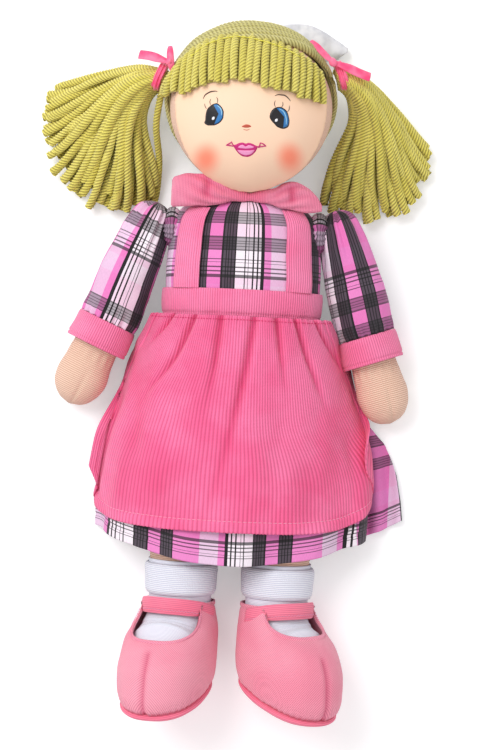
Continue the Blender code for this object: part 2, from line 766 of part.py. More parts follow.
def add_arm(name):
    """A stuffed arm with its mitten hand, and the flat tab that sews it to the torso."""
    radius = ARM_TOP_SHARE * ARM_HALF_WIDTH
    rings = []
    for share, width in round_top(radius, ARM_LENGTH):
        depth = ARM_TOP_DEPTH_SHARE * ARM_HALF_WIDTH * width / radius
        rings.append(arm_ring(name, share, width, depth))
    for share, width, depth in ARM_SHARES:
        rings.append(arm_ring(name, share, width * ARM_HALF_WIDTH, depth * ARM_HALF_WIDTH))
    add_stuffed(f"arm_{name}", rings, SKIN)
    rings = []
    for x in shoulder_tab_ends():
        centre = Vector((SIDES[name] * x, SHOULDER_Y, SHOULDER_Z))
        rings.append(ring(centre, HEADWARD, UPWARD, TAB_RADIUS, TAB_RADIUS, LIMB_STEPS))
    add_stuffed(f"arm_tab_{name}", rings, SKIN)


def add_sleeve(name):
    """A gathered sleeve, closed over the shoulder and open at the tab and the wrist."""
    def rings(depth_in, floor):
        made = []
        for share, width, depth, shift in reversed(SLEEVE_SHARES):
            place = share + depth_in / ARM_LENGTH if share < 0 else share
            made.append(arm_ring(name, place, width * SLEEVE_HALF_WIDTH - depth_in,
                                 depth * SLEEVE_HALF_WIDTH - depth_in,
                                 shift * SLEEVE_HALF_WIDTH, floor))
        return made

    sleeve = add_cloth(f"sleeve_{name}", rings(0.0, ARM_REST_Z), rings(DRESS_CLOTH, DRESS_CLOTH),
                       PLAID, closed_end=True)
    cutter = add_armhole_cutter(f"sleeve_hole_{name}", SIDES[name], TAB_RADIUS + GAP,
                                shoulder_tab_ends()[0] - CUT_OVERRUN, SHOULDER_X)
    cut_with(sleeve, cutter)


def add_cuff(name):
    """The wide ribbed cuff at the sleeve's end, flaring a little over the hand."""
    start = SLEEVE_SHARES[-1][0] + GAP / ARM_LENGTH
    end = start + CUFF_DEPTH / ARM_LENGTH
    half_width = SLEEVE_SHARES[-1][1] * SLEEVE_HALF_WIDTH
    outside, inside = (
        [arm_ring(name, start, half_width - thickness, half_width - thickness, 0.0, floor),
         arm_ring(name, end, CUFF_HALF_WIDTH - thickness, CUFF_HALF_WIDTH - thickness, 0.0, floor)]
        for thickness, floor in ((0.0, GAP), (BAND_CLOTH, GAP + BAND_CLOTH))
    )
    add_cloth(f"sleeve_cuff_{name}", outside, inside, PINK_CORD)


def leg_place(name):
    """A leg is modelled along its own axis, then rolled to the side that its foot flops to."""
    place = Matrix.Translation((SIDES[name] * LEG_X, 0, LEG_AXIS_Z))
    return place @ Matrix.Rotation(FOOT_ROLL[name], 4, "Y")


def leg_ring(y, grow=0.0, steps=LIMB_STEPS):
    """A section of the leg between its hip pivot and the ankle, about its own axis."""
    share = (LEG_PIVOT_Y - y) / LEG_LENGTH
    _, width, depth = sample(((0.0, LEG_TOP_SHARE, LEG_TOP_DEPTH_SHARE), *LEG_SHARES), share)
    half_width = width * LEG_RADIUS + grow
    half_depth = depth * LEG_RADIUS + grow
    return ring(Vector((0, y, 0)), RIGHTWARD, UPWARD, half_width, half_depth, steps, -LEG_AXIS_Z)


def foot_ring(share, grow=0.0):
    """A section of the foot, on a route that bends at the heel and runs out to the toe."""
    _, width, depth = sample(FOOT_SHARES, share)
    travelled = share * (BEND_LENGTH + FOOT_LENGTH)
    bend = min(travelled, BEND_LENGTH) / INSTEP_RADIUS
    beyond = max(travelled - BEND_LENGTH, 0) * (1 + grow / FOOT_LENGTH)
    soleward = Vector((0, -math.sin(bend), -math.cos(bend)))
    toeward = Vector((0, -math.cos(bend), math.sin(bend)))
    sink = (1 - depth) * FOOT_HALF_DEPTH * share
    centre = BEND_CENTRE + soleward * (INSTEP_RADIUS + sink) + toeward * beyond
    half_width = width * FOOT_HALF_WIDTH + grow
    half_depth = depth * FOOT_HALF_DEPTH + grow
    points = ring(centre, RIGHTWARD, -soleward, half_width, half_depth, LIMB_STEPS, -LEG_AXIS_Z)
    for point in points:
        excess = (point - BEND_CENTRE).dot(SOLE_NORMAL) - SOLE_REACH - grow
        if excess > 0:
            point -= SOLE_NORMAL * excess
    return points


def lower_leg_rings(top_y, grow=0.0):
    """Sections from one place on the leg down to the toe."""
    last_share = (LEG_PIVOT_Y - top_y) / LEG_LENGTH
    places = [top_y, *(LEG_PIVOT_Y - row[0] * LEG_LENGTH for row in LEG_SHARES
                       if row[0] > last_share)]
    rings = [leg_ring(y, grow) for y in places]
    return rings + [foot_ring(row[0], grow) for row in FOOT_SHARES]


def add_leg(name):
    """A stuffed leg and foot in one, with a round top that lies against the hip seam."""
    radius = LEG_TOP_SHARE * LEG_RADIUS
    rings = []
    for share, width in round_top(radius, LEG_LENGTH)[:-1]:
        depth = LEG_TOP_DEPTH_SHARE * LEG_RADIUS * width / radius
        centre = Vector((0, LEG_PIVOT_Y - share * LEG_LENGTH, 0))
        rings.append(ring(centre, RIGHTWARD, UPWARD, width, depth, LIMB_STEPS, -LEG_AXIS_Z))
    rings += lower_leg_rings(LEG_PIVOT_Y)
    add_stuffed(f"leg_{name}", rings, SKIN, leg_place(name))


def add_sock(name):
    """A knitted sock over the ankle and foot, and its folded cuff."""
    place = leg_place(name)
    outside, inside = (lower_leg_rings(SOCK_TOP_Y, grow) for grow in (SOCK_OUTSIDE, SOCK_INSIDE))
    add_cloth(f"sock_{name}", outside, inside, WHITE_KNIT, closed_end=True, place=place)
    ends = (SOCK_CUFF_TOP_Y, SOCK_CUFF_BOTTOM_Y)
    inner = SOCK_OUTSIDE + GAP
    outside, inside = ([leg_ring(y, grow) for y in ends] for grow in (inner + SOCK_CUFF_DEPTH, inner))
    add_cloth(f"sock_cuff_{name}", outside, inside, WHITE_KNIT, place=place)


def add_throat_cutter(name):
    """An egg at the instep that opens the shoe in front of the ankle."""
    mesh = bmesh.new()
    shape = Matrix.Diagonal((THROAT_HALF_WIDTH, THROAT_REACH, THROAT_REACH, 1))
    place = leg_place(name) @ Matrix.Translation(BEND_CENTRE) @ shape
    bmesh.ops.create_uvsphere(mesh, u_segments=THROAT_STEPS, v_segments=THROAT_ROWS, radius=1,
                              matrix=place)
    return add_cutter(f"throat_{name}", mesh)


def add_shoe(name):
    """A soft shoe: its upper with an open throat, the strap over the ankle and the sole."""
    place = leg_place(name)
    outside, inside = (lower_leg_rings(UPPER_TOP_Y, grow) for grow in (UPPER_OUTSIDE, UPPER_INSIDE))
    upper = add_cloth(f"shoe_upper_{name}", outside, inside, PINK_FELT, closed_end=True, place=place)
    cut_with(upper, add_throat_cutter(name))
    inner = UPPER_OUTSIDE + GAP
    outside, inside = (
        [leg_ring(y, grow)[:LIMB_STEPS // 2 + 1] for y in (STRAP_TOP_Y, STRAP_BOTTOM_Y)]
        for grow in (inner + FELT, inner)
    )
    add_cloth(f"shoe_strap_{name}", outside, inside, PINK_FELT, wrap=False, place=place)
    add_sole(name)


def add_sole(name):
    """A padded oval sole that swells under the foot."""
    seat = SOLE_REACH + UPPER_OUTSIDE + GAP
    rings = []
    for depth, size in SOLE_SHARES:
        centre = BEND_CENTRE + SOLE_NORMAL * (seat + depth * SOLE_DEPTH) + TOE_DIRECTION * SOLE_SHIFT
        points = []
        for step in range(BODY_STEPS):
            turn = math.tau * step / BODY_STEPS
            width = math.copysign(abs(math.cos(turn)) ** (2 / SOLE_POWER), math.cos(turn))
            length = math.copysign(abs(math.sin(turn)) ** (2 / SOLE_POWER), math.sin(turn))
            points.append(centre + RIGHTWARD * width * size * SOLE_HALF_WIDTH
                          + TOE_DIRECTION * length * size * SOLE_HALF_LENGTH)
        rings.append(points)
    add_stuffed(f"shoe_sole_{name}", rings, PINK_FELT, leg_place(name))


def add_hip_seam():
    """The flat seam under the torso that both legs hang from."""
    rings = []
    for x in (-HIP_SEAM_HALF_WIDTH, HIP_SEAM_HALF_WIDTH):
        centre = Vector((x, HIP_Y - GAP - HIP_SEAM_DEPTH / 2, HIP_SEAM_Z))
        rings.append(ring(centre, HEADWARD, UPWARD, HIP_SEAM_DEPTH / 2, HIP_SEAM_HALF_THICKNESS,
                          STRIP_STEPS))
    add_stuffed("hip_seam", rings, SKIN)


def add_collar(name):
    """One lobe of the gathered collar, from the middle out to the shoulder."""
    rings = []
    for share, height, depth, lift, drop in COLLAR_SHARES:
        centre = Vector((
            SIDES[name] * share * COLLAR_REACH,
            COLLAR_Y + lift * COLLAR_HALF_HEIGHT,
            COLLAR_Z - drop * COLLAR_DROP,
        ))
        rings.append(ring(centre, HEADWARD, UPWARD, height * COLLAR_HALF_HEIGHT,
                          depth * COLLAR_HALF_DEPTH, STRIP_STEPS))
    add_stuffed(f"collar_{name}", rings, PINK_CORD)


def skirt_place(x, share):
    """How far down the doll a share of the skirt's length lies, with its curved hem."""
    rise = SKIRT_HEM_RISE * (x / SKIRT_HALF_WIDTH) ** 2
    return WAIST_Y - share * (SKIRT_LENGTH - rise)


def skirt_share(x, y):
    rise = SKIRT_HEM_RISE * (x / SKIRT_HALF_WIDTH) ** 2
    return (WAIST_Y - y) / (SKIRT_LENGTH - rise)


def drape(share, across):
    """How far out and how high the skirt lies: over the legs to 1, then out on the floor."""
    _, half_width, height, _, _, power = sample(SKIRT_SHARES, share)
    top = SKIRT_HEIGHT * height - SKIRT_FLOOR_Z
    over = min(abs(across), 1)
    turn = over * math.pi / 2
    x = half_width * SKIRT_HALF_WIDTH * math.sin(turn) ** (2 / power)
    x += (abs(across) - over) * SKIRT_FLANGE
    wave = (1 + math.cos(math.tau * SKIRT_FOLDS * across / 2)) / 2
    z = SKIRT_FLOOR_Z + top * max(math.cos(turn), 0) ** (2 / power)
    return math.copysign(x, across), z + SKIRT_FOLD_DEPTH * share * wave


def across_at(share, x):
    """The place across the skirt whose distance from the middle is x."""
    _, width_share, _, _, _, power = sample(SKIRT_SHARES, share)
    half_width = width_share * SKIRT_HALF_WIDTH
    if x > half_width:
        return 1 + (x - half_width) / SKIRT_FLANGE
    return math.asin((x / half_width) ** (power / 2)) / (math.pi / 2)


def skirt_grid():
    """The inside of the skirt's front, draped over the torso and legs in soft folds."""
    rows = []
    for share in SKIRT_ROW_SHARES:
        _, _, _, left, right, _ = sample(SKIRT_SHARES, share)
        left_end = across_at(share, left * SKIRT_HALF_WIDTH)
        right_end = across_at(share, right * SKIRT_HALF_WIDTH)
        points = []
        for column in range(SKIRT_COLUMNS + 1):
            part = column / SKIRT_COLUMNS
            x, z = drape(share, part * (left_end + right_end) - left_end)
            points.append(Vector((x, skirt_place(x, share), z)))
        rows.append(points)
    return rows


def add_skirt():
    """The skirt's front over the legs and its back, flat under the doll."""
    grid = skirt_grid()
    add_cloth("skirt_front", lifted(grid, DRESS_CLOTH), grid, PLAID, wrap=False)
    outside, inside = [], []
    for share in SKIRT_ROW_SHARES:
        _, _, _, left, right, _ = sample(SKIRT_SHARES, share)
        columns = [(-left + (left + right) * column / SKIRT_BACK_COLUMNS) * SKIRT_HALF_WIDTH
                   for column in range(SKIRT_BACK_COLUMNS + 1)]
        outside.append([Vector((x, skirt_place(x, share), 0)) for x in columns])
        inside.append([Vector((x, skirt_place(x, share), DRESS_CLOTH)) for x in columns])
    add_cloth("skirt_back", outside, inside, PLAID, wrap=False)


def pleat_height(part, share):
    """How high the pleats stand at a place on the apron, as a share of their depth."""
    crease = 0
    for start, lean, reach, depth in APRON_CREASE_SHARES:
        away = (part - start - lean * share) / APRON_CREASE_SHARE
        crease += depth * max(1 - share / reach, 0) * math.exp(-away ** 2)
    return (1 - min(crease, 1)) * (1 - share / 2)


def add_apron():
    """The pleated apron over the skirt's front, with rounded lower corners."""
    rows = []
    for share in APRON_ROW_SHARES:
        _, left, right = sample(APRON_SHARES, share)
        points = []
        for column in range(APRON_COLUMNS + 1):
            part = 2 * column / APRON_COLUMNS - 1
            edge = (left if part < 0 else right) * APRON_HALF_WIDTH
            rise = APRON_CORNER_RISE["left" if part < 0 else "right"]
            y = WAIST_Y - share * (APRON_LENGTH - rise * abs(part) ** APRON_CORNER_POWER)
            under = skirt_share(edge * part, y)
            x, z = drape(under, part * across_at(under, edge))
            points.append(Vector((x, y, z)))
        rows.append(points)
    inside = lifted(rows, DRESS_CLOTH + APRON_GAP)
    for share, row in zip(APRON_ROW_SHARES, inside):
        for column, point in enumerate(row):
            point.z += APRON_PLEAT_DEPTH * pleat_height(2 * column / APRON_COLUMNS - 1, share)
    add_cloth("apron_panel", lifted(inside, DRESS_CLOTH), inside, PINK_CORD, wrap=False)


def main():
    for old in list(bpy.data.objects):
        bpy.data.objects.remove(old, do_unlink=True)
    add_torso()
    add_bodice()
    add_band_and_straps()
    add_neck()
    add_head()
    add_hair_cap()
    add_fringe()
    add_head_tape()
    add_hip_seam()
    add_skirt()
    add_apron()
    for name in SIDES:
        add_pigtail(name)
        add_collar(name)
        add_arm(name)
        add_sleeve(name)
        add_cuff(name)
        add_leg(name)
        add_sock(name)
        add_shoe(name)


main()
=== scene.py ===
"""The looks of a stuffed rag doll that lies on its back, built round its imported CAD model.

Metres, in the CAD's frame: +X to the right, +Y towards the head and +Z up, as seen from above.
"""

import math

import bpy
import numpy as np
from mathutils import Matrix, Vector, kdtree, noise


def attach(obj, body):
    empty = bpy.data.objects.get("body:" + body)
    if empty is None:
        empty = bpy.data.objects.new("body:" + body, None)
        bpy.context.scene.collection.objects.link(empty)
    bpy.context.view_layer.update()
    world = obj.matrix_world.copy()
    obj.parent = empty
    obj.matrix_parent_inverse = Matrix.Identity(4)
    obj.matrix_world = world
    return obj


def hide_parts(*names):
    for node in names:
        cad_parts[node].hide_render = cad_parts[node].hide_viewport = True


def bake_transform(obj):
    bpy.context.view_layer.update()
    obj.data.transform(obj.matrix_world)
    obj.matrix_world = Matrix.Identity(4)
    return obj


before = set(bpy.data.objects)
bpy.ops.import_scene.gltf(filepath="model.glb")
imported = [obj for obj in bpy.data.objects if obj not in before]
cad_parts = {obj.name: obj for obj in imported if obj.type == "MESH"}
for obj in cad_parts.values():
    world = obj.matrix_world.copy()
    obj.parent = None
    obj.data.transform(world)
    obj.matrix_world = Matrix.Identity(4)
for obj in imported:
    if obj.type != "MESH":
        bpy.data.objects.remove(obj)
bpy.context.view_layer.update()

SIDES = {"left": -1, "right": 1}
MM = 0.001
TAU = math.tau


# Materials

class Wire:
    """A number in a material: sums with it add Math nodes."""

    def __init__(self, finish, socket):
        self.finish = finish
        self.socket = socket

    def __add__(self, other):
        return self.finish.math("ADD", self, other)

    def __sub__(self, other):
        return self.finish.math("SUBTRACT", self, other)

    def __rsub__(self, other):
        return self.finish.math("SUBTRACT", other, self)

    def __mul__(self, other):
        return self.finish.math("MULTIPLY", self, other)

    __radd__ = __add__
    __rmul__ = __mul__


class Finish:
    """One material and its nodes."""

    def __init__(self, name, roughness, **fixed):
        self.material = bpy.data.materials.new(name)
        self.material.use_nodes = True
        self.nodes = self.material.node_tree.nodes
        self.links = self.material.node_tree.links
        self.surface = self.nodes["Principled BSDF"]
        self.surface.inputs["Roughness"].default_value = roughness
        for key, value in fixed.items():
            self.surface.inputs[key.replace("_", " ").title()].default_value = value

    def node(self, kind, settings=None, sockets=None):
        """A node with its settings, and with numbers, colours or wires in its sockets."""
        made = self.nodes.new(kind)
        for key, value in (settings or {}).items():
            setattr(made, key, value)
        for key, value in (sockets or {}).items():
            self.feed(made.inputs[key], value)
        return made

    def feed(self, socket, value):
        """Link a wire to a socket, or set it to a number or a colour."""
        if isinstance(value, Wire):
            value = value.socket
        if isinstance(value, bpy.types.NodeSocket):
            self.links.new(value, socket)
        elif hasattr(value, "__len__") and len(value) == 3 and len(socket.default_value) == 4:
            socket.default_value = (*value, 1)
        else:
            socket.default_value = value

    def math(self, operation, *values, clamp=False):
        """The result of a Math node."""
        settings = {"operation": operation, "use_clamp": clamp}
        made = self.node("ShaderNodeMath", settings, dict(enumerate(values)))
        return Wire(self, made.outputs[0])

    def limit(self, value, low, high):
        """0 below low, 1 above high, and a soft step between them."""
        sockets = {0: value, 1: low, 2: high, 3: 0.0, 4: 1.0}
        made = self.node("ShaderNodeMapRange", {"interpolation_type": "SMOOTHSTEP"}, sockets)
        return Wire(self, made.outputs[0])

    def place(self, scale=1.0):
        """Object coordinates, scaled."""
        source = self.node("ShaderNodeTexCoord").outputs["Object"]
        made = self.node("ShaderNodeMapping", None, {"Vector": source, "Scale": (scale,) * 3})
        return made.outputs[0]

    def cloth_place(self):
        """Metres across and along a cloth, from its own UV map."""
        source = self.node("ShaderNodeUVMap", {"uv_map": "cloth"}).outputs[0]
        apart = self.node("ShaderNodeSeparateXYZ", None, {0: source})
        return Wire(self, apart.outputs[0]), Wire(self, apart.outputs[1]), source

    def value(self, name):
        """A number that the mesh keeps for each point."""
        return Wire(self, self.node("ShaderNodeAttribute", {"attribute_name": name}).outputs["Fac"])

    def noise(self, vector, detail=2.0):
        """Soft noise round 0.5, its waves about as long as one step of the vector."""
        sockets = {"Vector": vector, "Scale": 1.0, "Detail": detail, "Roughness": 0.5}
        return Wire(self, self.node("ShaderNodeTexNoise", None, sockets).outputs[0])

    def wave(self, value, pitch):
        """A soft line every pitch metres, from 0 to 1."""
        return self.math("SINE", value * (TAU / pitch)) * 0.5 + 0.5

    def ramp(self, value, stops, sharp=False):
        """The colour and the cover at a value, from stops."""
        made = self.node("ShaderNodeValToRGB", None, {0: value})
        made.color_ramp.interpolation = "CONSTANT" if sharp else "LINEAR"
        points = made.color_ramp.elements
        points.remove(points[1])
        for number, (position, colour) in enumerate(stops):
            point = points.new(position) if number else points[0]
            point.position = position
            point.color = (*colour, 1) if len(colour) == 3 else colour
        return made.outputs[0], Wire(self, made.outputs[1])

    def mix(self, factor, first, second, way="MIX"):
        """Two colours mixed by a factor."""
        sockets = {0: factor, 6: first, 7: second}
        made = self.node("ShaderNodeMix", {"data_type": "RGBA", "blend_type": way}, sockets)
        return made.outputs[2]

    def done(self, colour, height, distance, strength=1.0):
        """The material, with its colour, and the height of its threads as a bump."""
        self.feed(self.surface.inputs["Base Color"], colour)
        sockets = {"Height": height, "Distance": distance, "Strength": strength}
        bump = self.node("ShaderNodeBump", None, sockets)
        self.feed(self.surface.inputs["Normal"], bump.outputs[0])
        return self.material


def ink(red, green, blue):
    """A colour as it shows on a screen, 0 to 255, in the renderer's own scale."""
    return tuple((c / 255 / 12.92 if c < 10.3 else ((c / 255 + 0.055) / 1.055) ** 2.4)
                 for c in (red, green, blue))


def knit_skin():
    """Fine stocking knit of the hands and legs, with lines across the limb and painted shade in the
    grooves between them.
    """
    f = Finish("knit_skin", 0.85, sheen_weight=0.15)
    across, along, _ = f.cloth_place()
    drift = f.noise(f.place(60.0)) * 0.0006
    lines = f.wave(along + drift, 0.00135)
    loops = f.wave(across, 0.0011)
    patch = f.noise(f.place(35.0))
    tone = f.mix(patch, ink(252, 218, 198), ink(240, 198, 174))
    # Painted shade: the grooves between the knit lines take a darker skin tone
    colour = f.mix(f.limit(lines, 0.15, 0.75), ink(214, 168, 144), tone)
    return f.done(colour, lines + loops * 0.3, 0.0003)


def face_skin():
    """Smooth jersey of the face, with soft blushed cheeks and painted light that lifts the shade at its
    rim.
    """
    f = Finish("face_skin", 0.75, sheen_weight=0.1)
    spot = f.place()
    # Painted light: towards the rim, where the face turns from the lamps, the colour is lifted to a
    # lighter, warmer tone
    edge = f.limit(f.value("edge"), 0.55, 1.0)
    colour = f.mix(edge, ink(248, 210, 181), ink(253, 210, 178))
    for x, y in ((-0.0268, 0.1345), (0.0262, 0.1375)):
        gap = f.node("ShaderNodeVectorMath", {"operation": "SUBTRACT"}, {0: spot, 1: (x, y, 0)})
        flat = f.node("ShaderNodeVectorMath", {"operation": "MULTIPLY"},
                      {0: gap.outputs[0], 1: (1, 1, 0)})
        reach = f.node("ShaderNodeVectorMath", {"operation": "LENGTH"}, {0: flat.outputs[0]})
        blush = 1 - f.limit(Wire(f, reach.outputs["Value"]), 0.001, 0.0125)
        colour = f.mix(blush * 0.85, colour, ink(255, 128, 96))
    weave = f.noise(f.place(1500.0))
    return f.done(colour, weave, 0.00012, 0.5)


def yarn_finish(name, light, dark):
    """Plied yarn: painted shade between its plies, with drifting colour and fine fibres."""
    f = Finish(name, 0.9, sheen_weight=0.25, sheen_roughness=0.5)
    ply = f.value("ply")
    strand = f.value("strand")
    fibre = f.noise(f.place(2600.0), 3.0)
    drift = f.noise(f.place(90.0))
    tone = f.mix(f.math("ADD", strand * 0.6, drift * 0.5, clamp=True), light, dark)
    # Painted shade: the valleys between the plies are darkened towards a deep olive
    hollow = f.mix(0.66, tone, ink(126, 106, 28))
    colour = f.mix(f.limit(ply + (fibre - 0.5) * 0.5, 0.05, 0.8), hollow, tone)
    return f.done(colour, fibre + ply * 0.5, 0.0004)


def plaid():
    """Yarn-dyed plaid: one sett of stripes both ways, with the lengthwise threads on top."""
    f = Finish("plaid", 0.8, sheen_weight=0.1)
    across, along, source = f.cloth_place()
    black, coal = ink(20, 14, 22), ink(82, 70, 82)
    pink, pale, white = ink(240, 138, 204), ink(238, 206, 232), ink(252, 242, 250)
    dark_band = [(0.0, black), (1.0, coal), (2.6, black), (3.1, coal), (4.3, black), (4.9, coal),
                 (6.1, black), (6.6, coal), (8.2, black)]
    sett = [(0.0, pink), (17.5, None), (26.5, pink), (35.0, None), (44.0, white), (49.5, black),
            (50.0, white), (51.5, black), (52.0, white), (54.5, black), (55.3, white),
            (57.1, black), (57.9, white), (59.7, black), (61.7, pink), (66.0, pale)]
    repeat, shift, covers = 78.0, 40.122, {black: 0.82, coal: 0.62}
    warp, weft = [], []
    for start, colour in sett:
        for step, shade in dark_band if colour is None else [(0.0, colour)]:
            warp.append(((start + step) / repeat, shade))
            weft.append(((start + step) / repeat, (*shade, covers.get(shade, 0.30))))
    lengthwise = f.math("FRACT", across * (1000 / repeat) + shift)
    crosswise = f.math("FRACT", along * (1000 / repeat) + shift)
    warp_colour, _ = f.ramp(lengthwise, warp, sharp=True)
    weft_colour, cover = f.ramp(crosswise, weft, sharp=True)
    colour = f.mix(cover, warp_colour, weft_colour, "MULTIPLY")
    stretched = f.node("ShaderNodeMapping", None, {"Vector": source, "Scale": (4200, 500, 1)})
    slub = f.noise(stretched.outputs[0])
    colour = f.mix(0.22, colour, f.ramp(slub, [(0.3, ink(150, 150, 150)), (0.7, (1, 1, 1))])[0],
                   "MULTIPLY")
    threads = f.wave(across, 0.00042) * f.wave(along, 0.00042)
    return f.done(colour, threads, 0.00010, 0.6)


def ribbed(name, light, deep, pitch, turn=0.0, depth=0.00035):
    """Ribbed pink cloth, its ribs running along the cloth, with painted shade in the valleys between
    the ribs and in the folds that the mesh marks.
    """
    f = Finish(name, 0.85, sheen_weight=0.2)
    across, along, _ = f.cloth_place()
    line = across * math.cos(turn) + along * math.sin(turn)
    ribs = f.wave(line + (f.noise(f.place(120.0)) - 0.5) * 0.0003, pitch)
    stitches = f.wave(along * math.cos(turn) - across * math.sin(turn), pitch * 0.55)
    patch = f.noise(f.place(28.0), 3.0)
    tone = f.mix(f.limit(patch, 0.3, 0.7), light, deep)
    # Painted shade: a deeper pink where the mesh marks a fold, crease or pinch
    tone = f.mix(f.math("MULTIPLY", f.value("hollow"), 1.0, clamp=True), tone, ink(206, 38, 98))
    # Painted shade: the valleys between the ribs and stitches are darkened
    hollow = f.mix(0.45, tone, ink(170, 30, 80))
    rib_shade_mask = f.limit(ribs + stitches * 0.25, 0.1, 0.75)
    colour = f.mix(rib_shade_mask, hollow, tone)
    return f.done(colour, ribs + stitches * 0.25, depth)


def white_knit(name, pitch, depth):
    """White jersey with fine ribs round the ankle, and grey painted shade in the grooves between the
    ribs.
    """
    f = Finish(name, 0.85, sheen_weight=0.2)
    across, along, _ = f.cloth_place()
    ribs = f.wave(along, pitch)
    loops = f.wave(across, 0.0011)
    # Painted shade: the grooves between the ribs are tinted grey
    colour = f.mix(f.limit(ribs, 0.1, 0.8), ink(208, 208, 226), ink(242, 242, 250))
    return f.done(colour, ribs + loops * 0.3, depth)


def satin(name, light, deep):
    """Woven satin ribbon, brighter where it turns."""
    f = Finish(name, 0.32, sheen_weight=0.1)
    across, along, _ = f.cloth_place()
    threads = f.wave(along, 0.0005)
    drift = f.noise(f.place(110.0))
    colour = f.mix(f.limit(drift, 0.35, 0.65), light, deep)
    return f.done(colour, threads + f.wave(across, 0.0009) * 0.5, 0.00006)


def thread(name, colour, roughness=0.6):
    """Sewing or embroidery thread, with a fine twist."""
    f = Finish(name, roughness)
    twist = f.noise(f.place(2400.0))
    tone = f.mix(twist * 0.5, colour, tuple(c * 0.55 for c in colour))
    return f.done(tone, twist, 0.0001)


def plain_floor():
    """A pale matt floor that keeps the shadow and is white to the camera."""
    f = Finish("floor", 0.9)
    f.surface.inputs["Specular IOR Level"].default_value = 0.0
    f.surface.inputs["Base Color"].default_value = (0.86, 0.86, 0.87, 1)
    glow = f.node("ShaderNodeEmission", None, {"Color": (1, 1, 1), "Strength": 0.28})
    both = f.node("ShaderNodeAddShader", None, {0: f.surface.outputs[0], 1: glow.outputs[0]})
    seen = f.node("ShaderNodeLightPath")
    rays = f.math("ADD", Wire(f, seen.outputs["Is Camera Ray"]),
                  f.math("ADD", Wire(f, seen.outputs["Is Glossy Ray"]),
                         Wire(f, seen.outputs["Is Transmission Ray"])), clamp=True)
    chosen = f.node("ShaderNodeMixShader", None,
                    {0: rays, 1: f.surface.outputs[0], 2: both.outputs[0]})
    f.links.new(chosen.outputs[0], f.nodes["Material Output"].inputs["Surface"])
    return f.material


SKIN = knit_skin()
FACE = face_skin()
YARN = yarn_finish("yarn", ink(248, 236, 130), ink(232, 218, 96))
CAP_YARN = yarn_finish("cap_yarn", ink(222, 214, 146), ink(196, 188, 112))
PLAID = plaid()
APRON = ribbed("apron_rib", ink(255, 124, 172), ink(248, 96, 148), 0.00165)
CUFF_RIB = ribbed("cuff_rib", ink(255, 140, 184), ink(250, 118, 164), 0.0016)
COLLAR_RIB = ribbed("collar_rib", ink(255, 158, 188), ink(250, 124, 160), 0.00115, math.pi / 2)
SHOE_JERSEY = ribbed("shoe_jersey", ink(255, 168, 188), ink(250, 148, 172), 0.00135, -0.9, 0.0002)
# The darker trim pink serves the strap, and on the sole it is painted shade
SHOE_TRIM_AND_SHADE = ribbed("shoe_trim_and_shade", ink(252, 136, 162), ink(246, 120, 150), 0.0012, math.pi / 2, 0.0001)
SOCK = white_knit("sock_jersey", 0.0009, 0.00008)
SOCK_RIB = white_knit("sock_rib", 0.00125, 0.00025)
RIBBON = satin("ribbon_satin", ink(255, 120, 160), ink(250, 70, 125))
TAPE = satin("tape_satin", ink(236, 235, 238), ink(208, 208, 214))
STITCH = thread("seam_thread", ink(238, 228, 90))
PINK_THREAD = thread("pink_thread", ink(255, 166, 200))
DEEP_THREAD = thread("deep_thread", ink(226, 58, 118))
DARK_THREAD = thread("dark_thread", ink(70, 44, 40))
EYE_BLACK = thread("eye_black", ink(14, 12, 20), 0.35)
EYE_BLUE = thread("eye_blue", ink(44, 120, 186), 0.35)
EYE_PALE = thread("eye_pale", ink(150, 205, 240), 0.35)
EYE_WHITE = thread("eye_white", ink(250, 250, 255), 0.3)
LIP_DEEP = thread("lip_deep", ink(206, 30, 120), 0.5)
LIP_PINK = thread("lip_pink", ink(250, 160, 208), 0.45)
NOSE_RED = thread("nose_red", ink(196, 84, 62), 0.5)


# Shapes

def soften(t):
    """A soft step from 0 to 1."""
    t = np.clip(t, 0, 1)
    return t * t * (3 - 2 * t)


def bell(gap, width):
    """1 where the gap is 0, and softly down to 0 over about two widths."""
    return np.exp(-(gap / width) ** 2)


def squared(wave, power):
    """A sine or cosine bent so that its circle turns squarer as the power falls below 1."""
    return np.sign(wave) * np.abs(wave) ** power


def unit(vectors):
    """The directions of vectors."""
    return vectors / np.maximum(np.linalg.norm(vectors, axis=-1, keepdims=True), 1e-12)


def turn_steps(count):
    """Even turns round a section, from the right and over the top."""
    return np.linspace(0, TAU, count, endpoint=False)


def travelled(points):
    """Metres gone along a line at each of its points."""
    return np.concatenate([[0], np.cumsum(np.linalg.norm(np.diff(points, axis=0), axis=1))])


def at_metres(points, metres):
    """The points of a line at some metres along it."""
    gone = travelled(points)
    return np.column_stack([np.interp(metres, gone, column) for column in points.T])


def profile(table, shares):
    """The rows of a table at any shares of its length, on smooth curves through its own rows."""
    table = np.array(table, float)
    place, rows = table[:, 0], table[:, 1:]
    step = np.diff(place)[:, None]
    slope = np.diff(rows, axis=0) / step
    same = slope[:-1] * slope[1:] > 0
    total = np.where(same, slope[:-1] + slope[1:], 1)
    lean = np.zeros_like(rows)
    lean[1:-1] = np.where(same, 2 * slope[:-1] * slope[1:] / total, 0)
    lean[0], lean[-1] = slope[0], slope[-1]
    shares = np.clip(np.atleast_1d(shares), place[0], place[-1])
    at = np.clip(np.searchsorted(place, shares, side="right") - 1, 0, len(place) - 2)
    width = step[at]
    t = (shares - place[at])[:, None] / width
    return ((2 * t**3 - 3 * t**2 + 1) * rows[at] + (t**3 - 2 * t**2 + t) * width * lean[at]
            + (3 * t**2 - 2 * t**3) * rows[at + 1] + (t**3 - t**2) * width * lean[at + 1])


